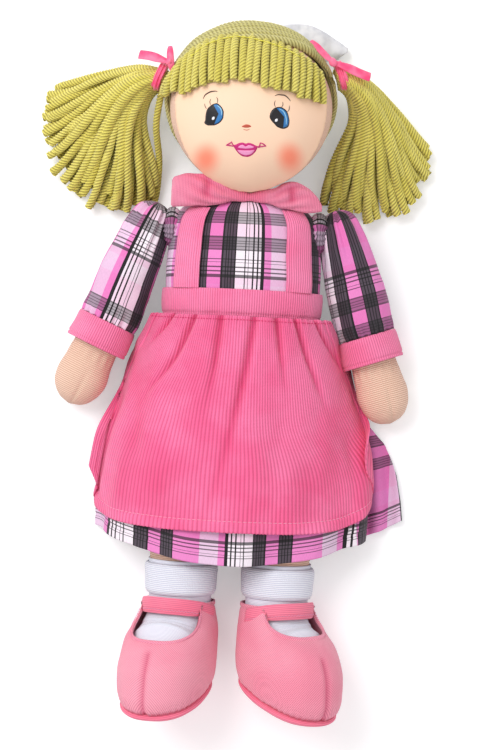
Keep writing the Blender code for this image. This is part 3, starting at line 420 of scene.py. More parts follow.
def route(points, count):
    """A smooth path of evenly spaced points, in metres, through a few in millimetres."""
    points = np.array(points, float) * MM
    gone = travelled(points)
    fine = profile(np.column_stack([gone / gone[-1], points]), np.linspace(0, 1, 8 * count))
    return at_metres(fine, np.linspace(0, travelled(fine)[-1], count))


def ripple(points, size, seed=0.0):
    """Soft noise from about -1 to 1 at each point, its waves about size metres long."""
    spots = points.reshape(-1, 3) / size + seed
    return np.array([noise.noise(Vector(spot)) for spot in spots]).reshape(points.shape[:-1])


def facing(grid, wrap, up=(0, 0, 1)):
    """Outward directions of a grid: away from its middle line, or up for an open cloth."""
    across = np.roll(grid, -1, 1) - np.roll(grid, 1, 1) if wrap else np.gradient(grid, axis=1)
    square = unit(np.cross(across, np.gradient(grid, axis=0)))
    out = grid - grid.mean(axis=1, keepdims=True) if wrap else np.array(up, float)
    return square * np.sign((square * out).sum())


def swell(grid, amount, wrap=True, up=(0, 0, 1)):
    """A grid moved outward by an amount for each of its points."""
    return grid + facing(grid, wrap, up) * np.asarray(amount)[..., None]


def rest(grid, floor=0.0004):
    """A grid kept above what it lies on."""
    grid[..., 2] = np.maximum(grid[..., 2], floor)
    return grid


def lengths(grid, wrap):
    """Metres across and along a grid, for the pattern on it."""
    around = np.concatenate([grid, grid[:, :1]], 1) if wrap else grid
    across = np.linalg.norm(np.diff(around, axis=1), axis=2).mean(axis=0)
    along = np.linalg.norm(np.diff(around, axis=0), axis=2).mean(axis=1)
    across = np.concatenate([[0], np.cumsum(across)])
    along = np.concatenate([[0], np.cumsum(along)])
    return np.stack(np.meshgrid(across - across[-1] / 2, along), -1)


def build(name, points, faces, material, places, corners, **values):
    """A smooth mesh object, with the UV map of each face corner and a number for each point."""
    mesh = bpy.data.meshes.new(name)
    mesh.from_pydata(points.tolist(), [], faces)
    flat = places[np.concatenate([np.array(corner) for corner in corners])]
    mesh.uv_layers.new(name="cloth").uv.foreach_set("vector", flat.ravel())
    for key, numbers in values.items():
        mesh.attributes.new(key, "FLOAT", "POINT").data.foreach_set("value", numbers.ravel())
    mesh.polygons.foreach_set("use_smooth", [True] * len(mesh.polygons))
    mesh.materials.append(material)
    return place_object(name, mesh)


def place_object(name, data):
    """A new object, at the origin and unturned."""
    made = bpy.data.objects.new(name, data)
    bpy.context.collection.objects.link(made)
    return made


def weave(rows, columns, wide, wrap, ring):
    """Square faces over a grid of points, with the matching corners in its UV grid."""
    faces, corners = [], []
    for row in range(rows if ring else rows - 1):
        below = (row + 1) % rows
        for column in range(columns if wrap else columns - 1):
            after = (column + 1) % columns
            faces.append([row * columns + column, row * columns + after,
                          below * columns + after, below * columns + column])
            corners.append([row * wide + column, row * wide + column + 1,
                            (row + 1) * wide + column + 1, (row + 1) * wide + column])
    return faces, corners


def shell(name, grid, material, wrap=True, start=True, end=True, uv=None, up=(0, 0, 1), ring=False,
          **values):
    """A piece over a grid: closed round its length, open as a cloth, or a ring closed both ways."""
    rows, columns = grid.shape[:2]
    uv = lengths(grid, wrap) if uv is None else uv
    points, places = grid.reshape(-1, 3), uv.reshape(-1, 2)
    numbers = {key: value.ravel() for key, value in values.items()}
    wide = uv.shape[1]
    faces, corners = weave(rows, columns, wide, wrap, ring)
    for row, closed in ((0, start), (rows - 1, end)):
        if ring or not (wrap and closed):
            continue
        points = np.vstack([points, grid[row].mean(axis=0)])
        places = np.vstack([places, uv[row].mean(axis=0)])
        for key in numbers:
            numbers[key] = np.append(numbers[key], values[key][row].mean())
        way = -1 if row == 0 else 1
        for column in range(columns):
            rim = [row * columns + column, row * columns + (column + 1) % columns]
            rim_places = [row * wide + column, row * wide + column + 1]
            faces.append([*rim[::way], len(points) - 1])
            corners.append([*rim_places[::way], len(places) - 1])
    # The first half of a ring is its outside, and tells which way the faces should turn
    seen = grid[:rows // 2] if ring else grid
    across = np.roll(seen, -1, 1) - seen if wrap else np.gradient(seen, axis=1)
    square = np.cross(across, np.gradient(seen, axis=0))
    if (square * facing(seen, wrap, up)).sum() < 0:
        faces = [face[::-1] for face in faces]
        corners = [corner[::-1] for corner in corners]
    return build(name, points, faces, material, places, corners, **numbers)


def thicken(piece, depth):
    """Give a cloth its real thickness, inward from the side that shows."""
    solid = piece.modifiers.new("cloth_thickness", "SOLIDIFY")
    solid.thickness = depth
    solid.offset = -1.0
    return piece


def rings(centres, across, outward, half_width, half_depth, count, floor=None, power=2.0):
    """A grid of sections along a limb or bag, flattened where they lie on the floor."""
    turn = turn_steps(count)
    grid = centres[:, None]
    for way, half, wave in ((across, half_width, np.cos(turn)), (outward, half_depth, np.sin(turn))):
        way, half = np.broadcast_to(way, centres.shape), np.broadcast_to(half, len(centres))
        grid = grid + way[:, None] * (half[:, None] * squared(wave, 2 / power))[..., None]
    return grid if floor is None else rest(grid, floor)


def ease(grid, passes):
    """A grid drawn smooth both ways, as cloth spans the hollows under it."""
    for _ in range(passes):
        drawn = grid.copy()
        drawn[1:-1] += 0.25 * (grid[2:] - 2 * grid[1:-1] + grid[:-2])
        drawn[:, 1:-1] += 0.25 * (grid[:, 2:] - 2 * grid[:, 1:-1] + grid[:, :-2])
        grid = drawn
    return grid


def stitches_on(line, pitch, length, first, spare, count=5):
    """Short stitches, one every pitch metres, along a line of points."""
    starts = np.arange(first, travelled(line)[-1] - spare, pitch)
    return [at_metres(line, np.linspace(start, start + length, count)) for start in starts]


def stitch_row(name, line, pitch, length, radius, material):
    """A row of short stitches, as one piece of thread."""
    stitches = stitches_on(line, pitch, length, pitch / 3, pitch)
    return spin(name, stitches, [radius] * len(stitches), material, step=0.0005, sides=6)


# Yarn and thread

def spinning_tree():
    """Geometry Nodes that spin plied yarn or thread along the edges of a mesh."""
    tree = bpy.data.node_groups.new("spun_yarn", "GeometryNodeTree")
    face = tree.interface
    face.new_socket("Route", in_out="INPUT", socket_type="NodeSocketGeometry")
    for label, kind in (("Step", "Float"), ("Sides", "Int"), ("Plies", "Float"),
                        ("Lobe", "Float"), ("Turn", "Float"), ("Finish", "Material")):
        face.new_socket(label, in_out="INPUT", socket_type=f"NodeSocket{kind}")
    face.new_socket("Yarn", in_out="OUTPUT", socket_type="NodeSocketGeometry")

    def node(kind, settings=None, sockets=None):
        made = tree.nodes.new(kind)
        for key, value in (settings or {}).items():
            setattr(made, key, value)
        for key, value in (sockets or {}).items():
            if isinstance(value, bpy.types.NodeSocket):
                tree.links.new(value, made.inputs[key])
            else:
                made.inputs[key].default_value = value
        return made

    def maths(operation, *values):
        settings = {"operation": operation}
        return node("ShaderNodeMath", settings, dict(enumerate(values))).outputs[0]

    given = node("NodeGroupInput").outputs
    number = {"data_type": "FLOAT"}
    strand = node("GeometryNodeInputNamedAttribute", number, {"Name": "strand"}).outputs[0]
    thick = node("GeometryNodeInputNamedAttribute", number, {"Name": "thick"}).outputs[0]
    curve = node("GeometryNodeMeshToCurve", None, {0: given["Route"]})
    even = node("GeometryNodeResampleCurve", {"mode": "LENGTH"},
                {"Curve": curve.outputs[0], "Length": given["Step"]})
    gone = node("GeometryNodeSplineParameter").outputs
    twist = maths("ADD", maths("DIVIDE", maths("MULTIPLY", gone["Length"], TAU), given["Turn"]),
                  maths("MULTIPLY", strand, TAU))
    tilted = node("GeometryNodeSetCurveTilt", None, {"Curve": even.outputs[0], "Tilt": twist})
    circle = node("GeometryNodeCurvePrimitiveCircle", None,
                  {"Resolution": given["Sides"], "Radius": 1.0})
    turned = maths("MULTIPLY", maths("MULTIPLY", gone["Factor"], TAU), given["Plies"])
    ply = maths("MULTIPLY", maths("COSINE", turned), -1.0)
    reach = maths("ADD", 1.0, maths("MULTIPLY", ply, given["Lobe"]))
    spot = node("GeometryNodeInputPosition").outputs[0]
    lobed = node("ShaderNodeVectorMath", {"operation": "SCALE"}, {0: spot, 3: reach})
    section = node("GeometryNodeSetPosition", None,
                   {"Geometry": circle.outputs[0], "Position": lobed.outputs[0]})
    marked = node("GeometryNodeStoreNamedAttribute", {"data_type": "FLOAT", "domain": "POINT"},
                  {"Geometry": section.outputs[0], "Name": "ply",
                   "Value": maths("ADD", 0.5, maths("MULTIPLY", ply, 0.5))})
    tube = node("GeometryNodeCurveToMesh", None,
                {"Curve": tilted.outputs[0], "Profile Curve": marked.outputs[0],
                 "Scale": thick, "Fill Caps": True})
    smooth = node("GeometryNodeSetShadeSmooth", None, {"Geometry": tube.outputs[0]})
    real = node("GeometryNodeRealizeInstances", None, {0: smooth.outputs[0]})
    dyed = node("GeometryNodeSetMaterial", None,
                {"Geometry": real.outputs[0], "Material": given["Finish"]})
    node("NodeGroupOutput", None, {0: dyed.outputs[0]})
    return tree


SPINNING = spinning_tree()


def spin(name, paths, thick, material, step=0.0012, sides=10, plies=0, lobe=0.0, turn=0.009):
    """Plied yarn or round thread along paths of points, as one plain mesh."""
    points = np.vstack(paths)
    radius = np.concatenate([np.broadcast_to(one, len(path)) for one, path in zip(thick, paths)])
    strand = np.concatenate([np.full(len(path), (0.618 * number) % 1.0)
                             for number, path in enumerate(paths)])
    edges, first = [], 0
    for path in paths:
        edges += [(first + at, first + at + 1) for at in range(len(path) - 1)]
        first += len(path)
    mesh = bpy.data.meshes.new(name)
    mesh.from_pydata(points.tolist(), edges, [])
    for key, numbers in (("thick", radius), ("strand", strand)):
        mesh.attributes.new(key, "FLOAT", "POINT").data.foreach_set("value", numbers)
    guide = place_object(f"{name}_route", mesh)
    spun = guide.modifiers.new("spun_yarn", "NODES")
    spun.node_group = SPINNING
    sizes = {"Step": step, "Sides": sides, "Plies": float(plies), "Lobe": lobe, "Turn": turn,
             "Finish": material}
    for socket in SPINNING.interface.items_tree:
        if socket.name in sizes:
            spun[socket.identifier] = sizes[socket.name]
    seen = guide.evaluated_get(bpy.context.evaluated_depsgraph_get())
    made = place_object(name, bpy.data.meshes.new_from_object(seen))
    made.data.name = name
    bpy.data.objects.remove(guide, do_unlink=True)
    return made


# The doll's own measures, as in its CAD model

HEAD = np.array([0.0, 0.1715, 0.049])
HEAD_HALF = np.array([0.0525, 0.0500, 0.0445])
HEAD_REST = 0.0048
FACE_EDGE = math.radians(66)
FACE_OUT = 0.0018
YARN_RADIUS = 0.0025
PLAID_THICK, BODICE_THICK, BAND_THICK, APRON_THICK = 0.0006, 0.0007, 0.0012, 0.0009
SOCK_THICK, SHOE_THICK, GROUND_THICK, TAPE_THICK, RIBBON_THICK = 0.0009, 0.0013, 0.0010, 0.0006, 0.0005
TORSO_TOP, HIP_Y, TORSO_AXIS_Z = 0.112, -0.012, 0.0305
TORSO_HALF_WIDTH, TORSO_HALF_DEPTH = 0.0495, 0.0285
TORSO_SHARES = (
    (0.00, 0.95, 0.10, 0.00), (0.05, 0.98, 0.36, 0.00), (0.12, 1.00, 0.62, 0.00),
    (0.25, 1.00, 0.88, 0.00), (0.40, 0.98, 0.97, 0.00), (0.60, 1.00, 1.00, 0.00),
    (0.78, 0.97, 0.96, 0.02), (0.88, 0.93, 0.86, 0.06), (0.95, 0.82, 0.70, 0.12),
    (1.00, 0.56, 0.50, 0.18))
X_AXIS, Y_AXIS, Z_AXIS = np.eye(3)


def finish_piece(piece, body, slot, *nodes, fill=None):
    """Let a piece ride on its body and stand for its CAD nodes."""
    if body is not None:
        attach(piece, body)
    if nodes:
        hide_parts(*nodes)


def finish_cloth(piece, depth, body, slot, *nodes):
    """The same for a cloth, which first gets its thickness."""
    finish_piece(thicken(piece, depth), body, slot, *nodes)


def fold_at_waist(piece):
    """Bake a piece's placement into its mesh."""
    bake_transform(piece)


# Torso, bodice, waistband and straps

BODICE_TOP, BODICE_END = 0.1112, 0.0360
BAND_OUT, STRAP_TURN = 0.0036, 0.225


def torso_section(places, grow):
    """Height of the middle, half width and half depth of the torso at places up its length."""
    width, depth, lift = profile(TORSO_SHARES, (places - HIP_Y) / (TORSO_TOP - HIP_Y)).T
    return (TORSO_AXIS_Z + lift * TORSO_HALF_DEPTH, width * TORSO_HALF_WIDTH + grow,
            depth * TORSO_HALF_DEPTH + grow)


def torso_grid(places, grow, count=96, floor=0.0):
    """Sections of the torso, all the way round."""
    height, width, depth = torso_section(places, grow)
    centres = np.column_stack([0 * places, places, height])
    return rings(centres, X_AXIS, Z_AXIS, width, depth, count, floor)


def torso_patch(places, grow, first, last, columns):
    """Part of each section of the clothed torso, between two angles up from the right."""
    height, width, depth = (row[:, None] for row in torso_section(places, grow))
    turn = np.linspace(first, last, columns)
    return np.stack([width * np.cos(turn), places[:, None] + 0 * turn,
                     height + depth * np.sin(turn)], -1)


def make_torso():
    """The stuffed torso, its plaid bodice, the apron's waistband and its two straps."""
    body = torso_grid(np.linspace(TORSO_TOP, HIP_Y, 40), 0.0, floor=0.0018)
    finish_piece(shell("torso_form", body, SKIN), "torso", "skin", "torso", fill=0.8)

    grid = torso_grid(np.linspace(BODICE_TOP, BODICE_END, 62), 0.0016, 160)
    turn = turn_steps(160)
    down = np.linspace(0, 1, 62)[:, None]
    side = np.abs(np.cos(turn)) ** 3
    folds = ripple(grid * (1, 0.35, 1), 0.011, 3.0) * 0.0009
    folds += ripple(grid * (1, 0.6, 1), 0.030, 8.0) * 0.0010
    gather = np.sin(turn * 36 + 2 * np.sin(turn * 5)) * 0.0006
    amount = (folds + gather * (down ** 3 + 0.35 * (1 - down) ** 3)) * (0.35 + 0.65 * side)
    grid = rest(swell(grid, np.maximum(amount, -0.0010)), 0.0)
    place = lengths(grid, True)
    place = np.stack([place[0, 40, 0] - place[..., 0] + 0.0395, place[..., 1] - 0.0045], -1)
    bodice = shell("bodice_plaid", grid, PLAID, uv=place, start=False, end=False)
    finish_cloth(bodice, BODICE_THICK, "torso", "plaid", "bodice")

    band = torso_patch(np.linspace(0.0540, 0.0362, 26), BAND_OUT, -0.22, math.pi + 0.22, 150)
    down = np.linspace(0, 1, 26)[:, None]
    puff = 0.0010 * np.sin(math.pi * down) ** 0.6 - 0.0004
    puckers = ripple(band * (1, 0.4, 1), 0.007, 5.0) * 0.0004
    band = swell(band, puff - 0.0006 * bell(down - 0.90, 0.03) + puckers, wrap=False)
    waist = shell("waistband", band, CUFF_RIB, wrap=False)
    finish_cloth(waist, BAND_THICK, "torso", "pink_cord", "apron_band")

    over = np.linspace(-1, 1, 26)
    for name, side in SIDES.items():
        middle = math.pi / 2 - side * math.pi / 4
        strap = torso_patch(np.linspace(0.1062, 0.0536, 70), BAND_OUT,
                            middle - STRAP_TURN, middle + STRAP_TURN, 26)
        roll = 0.0007 * (1 - np.abs(over) ** 6) + ripple(strap, 0.012, 2.0 + side) * 0.0005
        strap = swell(strap, roll - 0.0007 * bell(over - 0.72 * side, 0.06), wrap=False)
        strap[..., 0] += ripple(strap * (0, 1, 0), 0.030, 4.0 + side) * 0.0012
        piece = shell(f"shoulder_strap_{name}", strap, CUFF_RIB, wrap=False)
        finish_cloth(piece, BAND_THICK, "torso", "pink_cord", f"apron_strap_{name}")


# Neck and collar

NECK_ENDS, NECK_Z, NECK_HALF = (0.1212, 0.1123), 0.038, 0.013


def make_neck():
    """The stuffed neck, which bends between the torso and the head."""
    centres = np.column_stack([np.zeros(12), np.linspace(*NECK_ENDS, 12), np.full(12, NECK_Z)])
    neck = shell("neck_form", rings(centres, X_AXIS, Z_AXIS, NECK_HALF, NECK_HALF, 40), SKIN)
    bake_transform(neck)
    finish_piece(neck, None, "skin", "neck", fill=0.8)


LEFT_LOBE = (
    (0.00, 0.0032, 0.1138, 0.0524, 0.0024, 0.0014), (0.08, -0.0030, 0.1146, 0.0534, 0.0036, 0.0022),
    (0.25, -0.0120, 0.1160, 0.0544, 0.0056, 0.0036), (0.40, -0.0200, 0.1166, 0.0548, 0.0086, 0.0046),
    (0.55, -0.0280, 0.1172, 0.0546, 0.0104, 0.0050), (0.72, -0.0365, 0.1170, 0.0530, 0.0106, 0.0046),
    (0.88, -0.0440, 0.1160, 0.0512, 0.0103, 0.0040), (0.96, -0.0474, 0.1154, 0.0504, 0.0099, 0.0034),
    (1.00, -0.0488, 0.1150, 0.0500, 0.0082, 0.0018))
RIGHT_LOBE = (
    (0.00, 0.0000, 0.1140, 0.0526, 0.0024, 0.0014), (0.15, 0.0090, 0.1146, 0.0536, 0.0038, 0.0024),
    (0.32, 0.0170, 0.1151, 0.0544, 0.0056, 0.0034), (0.48, 0.0235, 0.1158, 0.0544, 0.0082, 0.0040),
    (0.66, 0.0320, 0.1154, 0.0538, 0.0092, 0.0040), (0.80, 0.0390, 0.1136, 0.0528, 0.0080, 0.0034),
    (0.92, 0.0446, 0.1112, 0.0520, 0.0056, 0.0026), (1.00, 0.0490, 0.1090, 0.0512, 0.0026, 0.0013))


def make_collar():
    """Two padded lobes of ribbed cloth, pinched where they are sewn down."""
    turn = turn_steps(64)
    top = np.clip(np.sin(turn), 0, 1)
    share = (1 - np.cos(np.linspace(0, math.pi, 110))) / 2
    for name, table, pinch in (("left", LEFT_LOBE, 0.50), ("right", RIGHT_LOBE, 0.60)):
        x, y, z, half_height, half_depth = profile(table, share).T
        grid = rings(np.column_stack([x, y, z]), Y_AXIS, Z_AXIS, half_height, half_depth, 64,
                     power=2.3)
        away = (share - pinch)[:, None]
        near = bell(away, 0.05) * bell(turn - 1.45, 0.5)
        wide = bell(away, 0.24) * top
        fan = np.sin((turn - 1.2) * 7 + away * 18)
        folds = 0.0010 * fan * wide - 0.0024 * near + ripple(grid, 0.010, 6.0 + pinch) * 0.0010
        # Painted shade: how much the ribbed cloth is darkened at the pinch and in the valleys of the
        # fan folds
        hollow = 0.6 * near + 0.35 * np.clip(-fan, 0, 1) * wide
        slant = away * 0.055 + 0 * turn
        place = np.stack([turn * 0.006 + slant * 0.2, slant], -1)
        place = np.concatenate([place, place[:, :1] + (TAU * 0.006, 0)], 1)
        piece = shell(f"collar_lobe_{name}", swell(grid, folds), COLLAR_RIB, uv=place, hollow=hollow)
        finish_piece(piece, "neck", "pink_cord", f"collar_{name}", fill=0.5)


# Head and face

def head_at(polar, azimuth, grow=0.0):
    """A point of the head, by its angle from the face's axis and its turn from the right."""
    polar, azimuth = np.broadcast_arrays(polar, azimuth)
    half = HEAD_HALF + grow
    return HEAD + np.stack([half[0] * np.sin(polar) * np.cos(azimuth),
                            half[1] * np.sin(polar) * np.sin(azimuth),
                            half[2] * np.cos(polar)], -1)


def over_face(flat, grow):
    """The points of the head's front that lie over flat ones."""
    half = HEAD_HALF + grow
    x, y = flat[..., 0], flat[..., 1]
    inside = 1 - (x / half[0]) ** 2 - ((y - HEAD[1]) / half[1]) ** 2
    return np.stack([x, y, HEAD[2] + half[2] * np.sqrt(np.maximum(inside, 0.0004))], -1)


SWELLS = ((-0.027, 0.139, 0.0016, 0.015), (0.027, 0.141, 0.0016, 0.015),
          (-0.002, 0.127, 0.0010, 0.012))


def chin_swell(polar, low):
    """How far the stuffing rounds the chin out."""
    return 0.0030 * low ** 6 * bell(polar - math.pi / 2, 0.5)


def make_head():
    """The stuffed head and the face cloth sewn over its front. Gives back the face's surface."""
    polar = np.linspace(math.radians(4), math.pi - math.radians(4), 90)[:, None]
    azimuth = turn_steps(140)
    low = np.clip(-np.sin(azimuth), 0, 1)
    grid = head_at(polar, azimuth)
    tuck = bell(polar - FACE_EDGE - 0.03, 0.07)
    amount = ripple(grid, 0.03, 1.0) * 0.0006 - 0.0004 * tuck + chin_swell(polar, low)
    amount = amount + np.sin(azimuth * 30) * 0.0004 * tuck * low
    grid = rest(swell(grid, amount), HEAD_REST)
    finish_piece(shell("head_form", grid, SKIN), "head", "skin", "head", fill=0.9)

    share = np.linspace(0, 1, 70)[:, None]
    first = math.radians(1.5)
    polar = first + (FACE_EDGE + math.radians(21) * low ** 2 - first) * share
    grid = head_at(polar, azimuth, FACE_OUT)
    puckers = np.sin(azimuth * 46 + 3 * np.sin(azimuth * 7)) * 0.00022 * bell(share - 0.94, 0.05)
    amount = chin_swell(polar, low) - 0.0014 * soften((share - 0.90) / 0.10) ** 2 + puckers
    amount = amount + ripple(grid, 0.028, 9.0) * 0.0004
    for x, y, high, reach in SWELLS:
        away = (grid[..., 0] - x) ** 2 + (grid[..., 1] - y) ** 2
        amount = amount + high * np.exp(-away / reach ** 2)
    top = swell(grid, amount)
    back = head_at(polar[::-1], azimuth, 0.0005)
    back[0] = (back[0] + top[-1]) / 2
    # How near each point is to the face cloth's edge, which the face material uses to paint a lighter
    # rim against the shade there
    edge = np.concatenate([share, share[::-1]]) + 0 * azimuth
    face = shell("face_cloth", np.concatenate([top, back], 0), FACE, edge=edge)
    finish_piece(face, "head", "skin", "face_panel", fill=0.9)
    return top


class Face:
    """The front of the face as it was shaped, to lay its sewn features on."""

    def __init__(self, top):
        self.spots = top[..., :2].reshape(-1, 2)
        self.rise = top[..., 2].ravel() - over_face(self.spots, FACE_OUT)[:, 2]

    def lay(self, flat, lift):
        """The points of the face over flat ones, lifted along the way out of it."""
        gap = ((flat.reshape(-1, 1, 2) - self.spots) ** 2).sum(-1)
        near = np.argpartition(gap, 6, axis=1)[:, :6]
        weight = 1 / (np.take_along_axis(gap, near, 1) + 1e-8)
        rise = (self.rise[near] * weight).sum(1) / weight.sum(1)
        points = over_face(flat, FACE_OUT)
        points[..., 2] += rise.reshape(flat.shape[:-1])
        away = unit((points - HEAD) / (HEAD_HALF + FACE_OUT) ** 2)
        return points + away * np.asarray(lift)[..., None]


def outline(points, count):
    """A smooth closed outline through points in millimetres, as metres."""
    points = np.array(points, float) * MM
    around = np.vstack([points[-2:], points, points[:3]])
    gone = travelled(around)
    at = np.linspace(gone[2], gone[2 + len(points)], count, endpoint=False)
    return profile(np.column_stack([gone, around]), at)


def sewn_patch(face, name, points, material, high=0.0004, base=0.0, count=72):
    """A filled patch of stitches that swells a little from the face."""
    edge = outline(points, count)
    middle = edge.mean(axis=0)
    share = 1 - np.linspace(0.02, 1, 9) ** 1.3
    flat = middle + (edge - middle)[None] * (1 - share)[:, None, None]
    lift = base + high * np.sqrt(np.clip(1 - (1 - share) ** 4, 0, 1))
    grid = np.concatenate([face.lay(flat, lift[:, None]), face.lay(flat[-1:], -0.0006),
                           face.lay(flat[:1], -0.0010)], 0)
    place = np.concatenate([grid[..., :2], grid[:, :1, :2]], 1)
    finish_piece(shell(name, grid, material, uv=place), "head", "skin")


def sewn_lines(face, name, lines, thick, material, lift):
    """Thin rows of thread on the face, thinner towards their ends."""
    paths, sizes = [], []
    along = np.linspace(0, 1, 40)
    for line, size in zip(lines, thick):
        paths.append(face.lay(route(line, 40), lift))
        sizes.append(size * (0.35 + 0.65 * np.sin(math.pi * along) ** 0.7))
    finish_piece(spin(name, paths, sizes, material, step=0.0005, sides=8), "head", "skin")


EYES = {
    "left": ((-21.3, 167.5), (-19.2, 166.3), (-17.3, 164.1), (-16.5, 161.8), (-16.6, 158.9),
             (-17.7, 156.6), (-19.9, 154.8), (-22.7, 153.9), (-25.6, 153.9), (-27.7, 154.7),
             (-28.6, 155.9), (-28.0, 157.4), (-28.0, 159.2), (-27.8, 161.3), (-27.2, 163.6),
             (-25.3, 165.8), (-23.3, 167.0)),
    "right": ((15.9, 166.4), (18.5, 166.9), (20.9, 166.1), (22.7, 164.7), (23.9, 162.1),
              (24.7, 158.6), (24.4, 156.0), (23.2, 154.5), (20.7, 153.7), (17.5, 154.4),
              (15.4, 156.1), (13.0, 158.5), (12.1, 160.3), (12.3, 162.1), (13.2, 164.2)),
}
EYE_RIMS = {
    "left": ((-23.0, 166.4), (-21.3, 166.8), (-19.4, 165.7), (-17.8, 163.7), (-17.1, 161.6),
             (-17.2, 159.0), (-18.3, 156.9), (-20.3, 155.3), (-22.0, 154.8), (-20.3, 156.4),
             (-19.1, 158.3), (-18.9, 160.9), (-19.5, 163.2), (-20.9, 165.1)),
    "right": ((16.2, 165.8), (18.5, 166.2), (20.4, 165.5), (22.1, 164.1), (23.2, 162.0),
              (23.9, 158.5), (23.6, 156.4), (22.6, 155.2), (20.8, 154.5), (21.3, 155.5),
              (21.6, 157.4), (21.3, 160.0), (20.4, 162.5), (18.8, 164.5), (17.5, 165.2)),
}
EYE_SHINE = {
    "left": ((-20.6, 166.0), (-18.6, 164.4), (-17.7, 162.2), (-17.6, 160.0)),
    "right": ((17.6, 165.6), (19.9, 164.7), (21.7, 162.2), (22.5, 159.0), (22.5, 156.6)),
}
EYE_GLINTS = {"left": (-22.8, 158.3), "right": (16.3, 158.6)}
LASHES = (
    ((-28.8, 167.4), (-28.5, 165.9), (-27.4, 164.1)), ((-25.1, 170.2), (-25.5, 168.3), (-24.9, 166.3)),
    ((-21.5, 171.4), (-20.6, 169.3), (-20.8, 167.5)), ((15.2, 170.6), (14.7, 168.7), (15.4, 166.4)),
    ((19.8, 170.2), (20.0, 168.4), (19.1, 166.6)), ((24.1, 168.3), (24.1, 166.3), (23.1, 164.2)))
BROWS = (
    ((-29.8, 170.5), (-28.8, 172.6), (-27.0, 173.9), (-24.7, 174.8), (-22.2, 175.0), (-21.1, 174.6)),
    ((14.8, 173.5), (17.1, 174.4), (20.2, 174.4), (22.6, 173.3), (24.7, 171.1)))
NOSE = ((-4.9, 153.6), (-3.6, 154.5), (-2.1, 155.0), (-0.3, 154.8), (1.0, 153.8), (-0.2, 153.3),
        (-2.0, 153.0), (-3.6, 153.1))
LIPS = ((-9.8, 142.2), (-7.7, 143.1), (-5.7, 144.0), (-3.9, 144.2), (-2.1, 143.7), (-0.1, 144.2),
        (2.0, 143.8), (4.1, 142.9), (5.7, 142.2), (5.0, 140.3), (3.8, 138.5), (1.8, 136.8),
        (-0.7, 135.9), (-3.3, 136.1), (-5.7, 137.3), (-7.5, 139.0), (-8.9, 140.7))
UPPER_LIP = ((-6.9, 141.4), (-5.7, 142.5), (-4.0, 143.0), (-2.0, 142.1), (0.1, 143.0), (2.0, 142.6),
             (3.4, 141.9), (2.2, 141.3), (-2.0, 140.8), (-5.6, 141.0))
LOWER_LIP = ((-7.1, 139.8), (-3.5, 139.8), (0.1, 139.9), (3.7, 140.3), (2.6, 138.6), (0.4, 137.3),
             (-1.8, 136.9), (-4.2, 137.5), (-5.9, 138.5))
MOUTH_CURLS = (
    ((-9.0, 142.0), (-10.3, 143.1), (-11.0, 144.7)), ((-10.8, 144.3), (-12.2, 143.4), (-14.3, 142.3)),
    ((-14.3, 142.3), (-12.0, 142.2), (-9.2, 141.8)), ((5.3, 141.9), (6.8, 142.9), (7.1, 144.8)),
    ((7.1, 144.6), (8.9, 144.0), (10.9, 142.8)), ((10.9, 142.8), (8.6, 142.6), (5.8, 141.6)))


def make_face(face):
    """The sewn eyes, lashes, brows, nose and mouth."""
    for name in SIDES:
        sewn_patch(face, f"eye_{name}", EYES[name], EYE_BLACK, high=0.0004)
        sewn_patch(face, f"eye_blue_{name}", EYE_RIMS[name], EYE_BLUE, high=0.00015, base=0.0004)
        sewn_lines(face, f"eye_shine_{name}", [EYE_SHINE[name]], [0.00045], EYE_PALE, 0.00045)
        x, y = EYE_GLINTS[name]
        dot = [(x + 0.85 * math.cos(t) + 0.25 * math.sin(t), y + 1.0 * math.sin(t))
               for t in turn_steps(12)]
        sewn_patch(face, f"eye_glint_{name}", dot, EYE_WHITE, high=0.0002, base=0.00045, count=24)
    sewn_lines(face, "lashes", LASHES, [0.00022] * 6, DARK_THREAD, 0.0001)
    sewn_lines(face, "brows", BROWS, [0.00042, 0.00036], DARK_THREAD, 0.0001)
    sewn_patch(face, "nose_patch", NOSE, NOSE_RED, high=0.0003)
    sewn_lines(face, "nose_line", [((-4.0, 152.1), (-1.9, 151.6), (0.1, 152.2))], [0.0002],
               NOSE_RED, 0.00002)
    sewn_patch(face, "lips", LIPS, LIP_DEEP, high=0.0004)
    sewn_patch(face, "upper_lip", UPPER_LIP, LIP_PINK, high=0.0003, base=0.0003)
    sewn_patch(face, "lower_lip", LOWER_LIP, LIP_PINK, high=0.0004, base=0.0003)
    sewn_lines(face, "mouth_corners", MOUTH_CURLS, [0.00040] * 6, LIP_DEEP, 0.0001)


# Hair

TIE_TURNS = {"left": math.pi - math.radians(17.5), "right": math.radians(24)}
SEAM_LINE = ((-47.5, 187.0), (-40.4, 197.2), (-26.8, 206.9), (-10.0, 210.8), (7.0, 207.9),
             (20.0, 204.0), (31.2, 198.7), (41.0, 190.5))
FRINGE_EDGE = ((-56.0, 176.5), (-40.0, 174.5), (-28.5, 178.0), (-7.4, 181.0), (6.0, 178.5),
               (19.5, 176.0), (30.0, 174.0), (44.0, 171.5))


def cap_arc(turn, across, grow):
    """Points from tie to tie over the head, at one turn from the face over the crown."""
    ends = [(head_at(math.pi / 2, TIE_TURNS[name], grow) - HEAD) / (HEAD_HALF + grow)
            for name in SIDES]
    across = np.asarray(across)[:, None]
    chord = ends[0] * (1 - across) + ends[1] * across
    top = 1.35 * np.array([0, math.sin(turn), math.cos(turn)]) - (ends[0] + ends[1]) / 2
    return HEAD + (HEAD_HALF + grow) * unit(chord + top * np.sin(math.pi * across) ** 0.85)


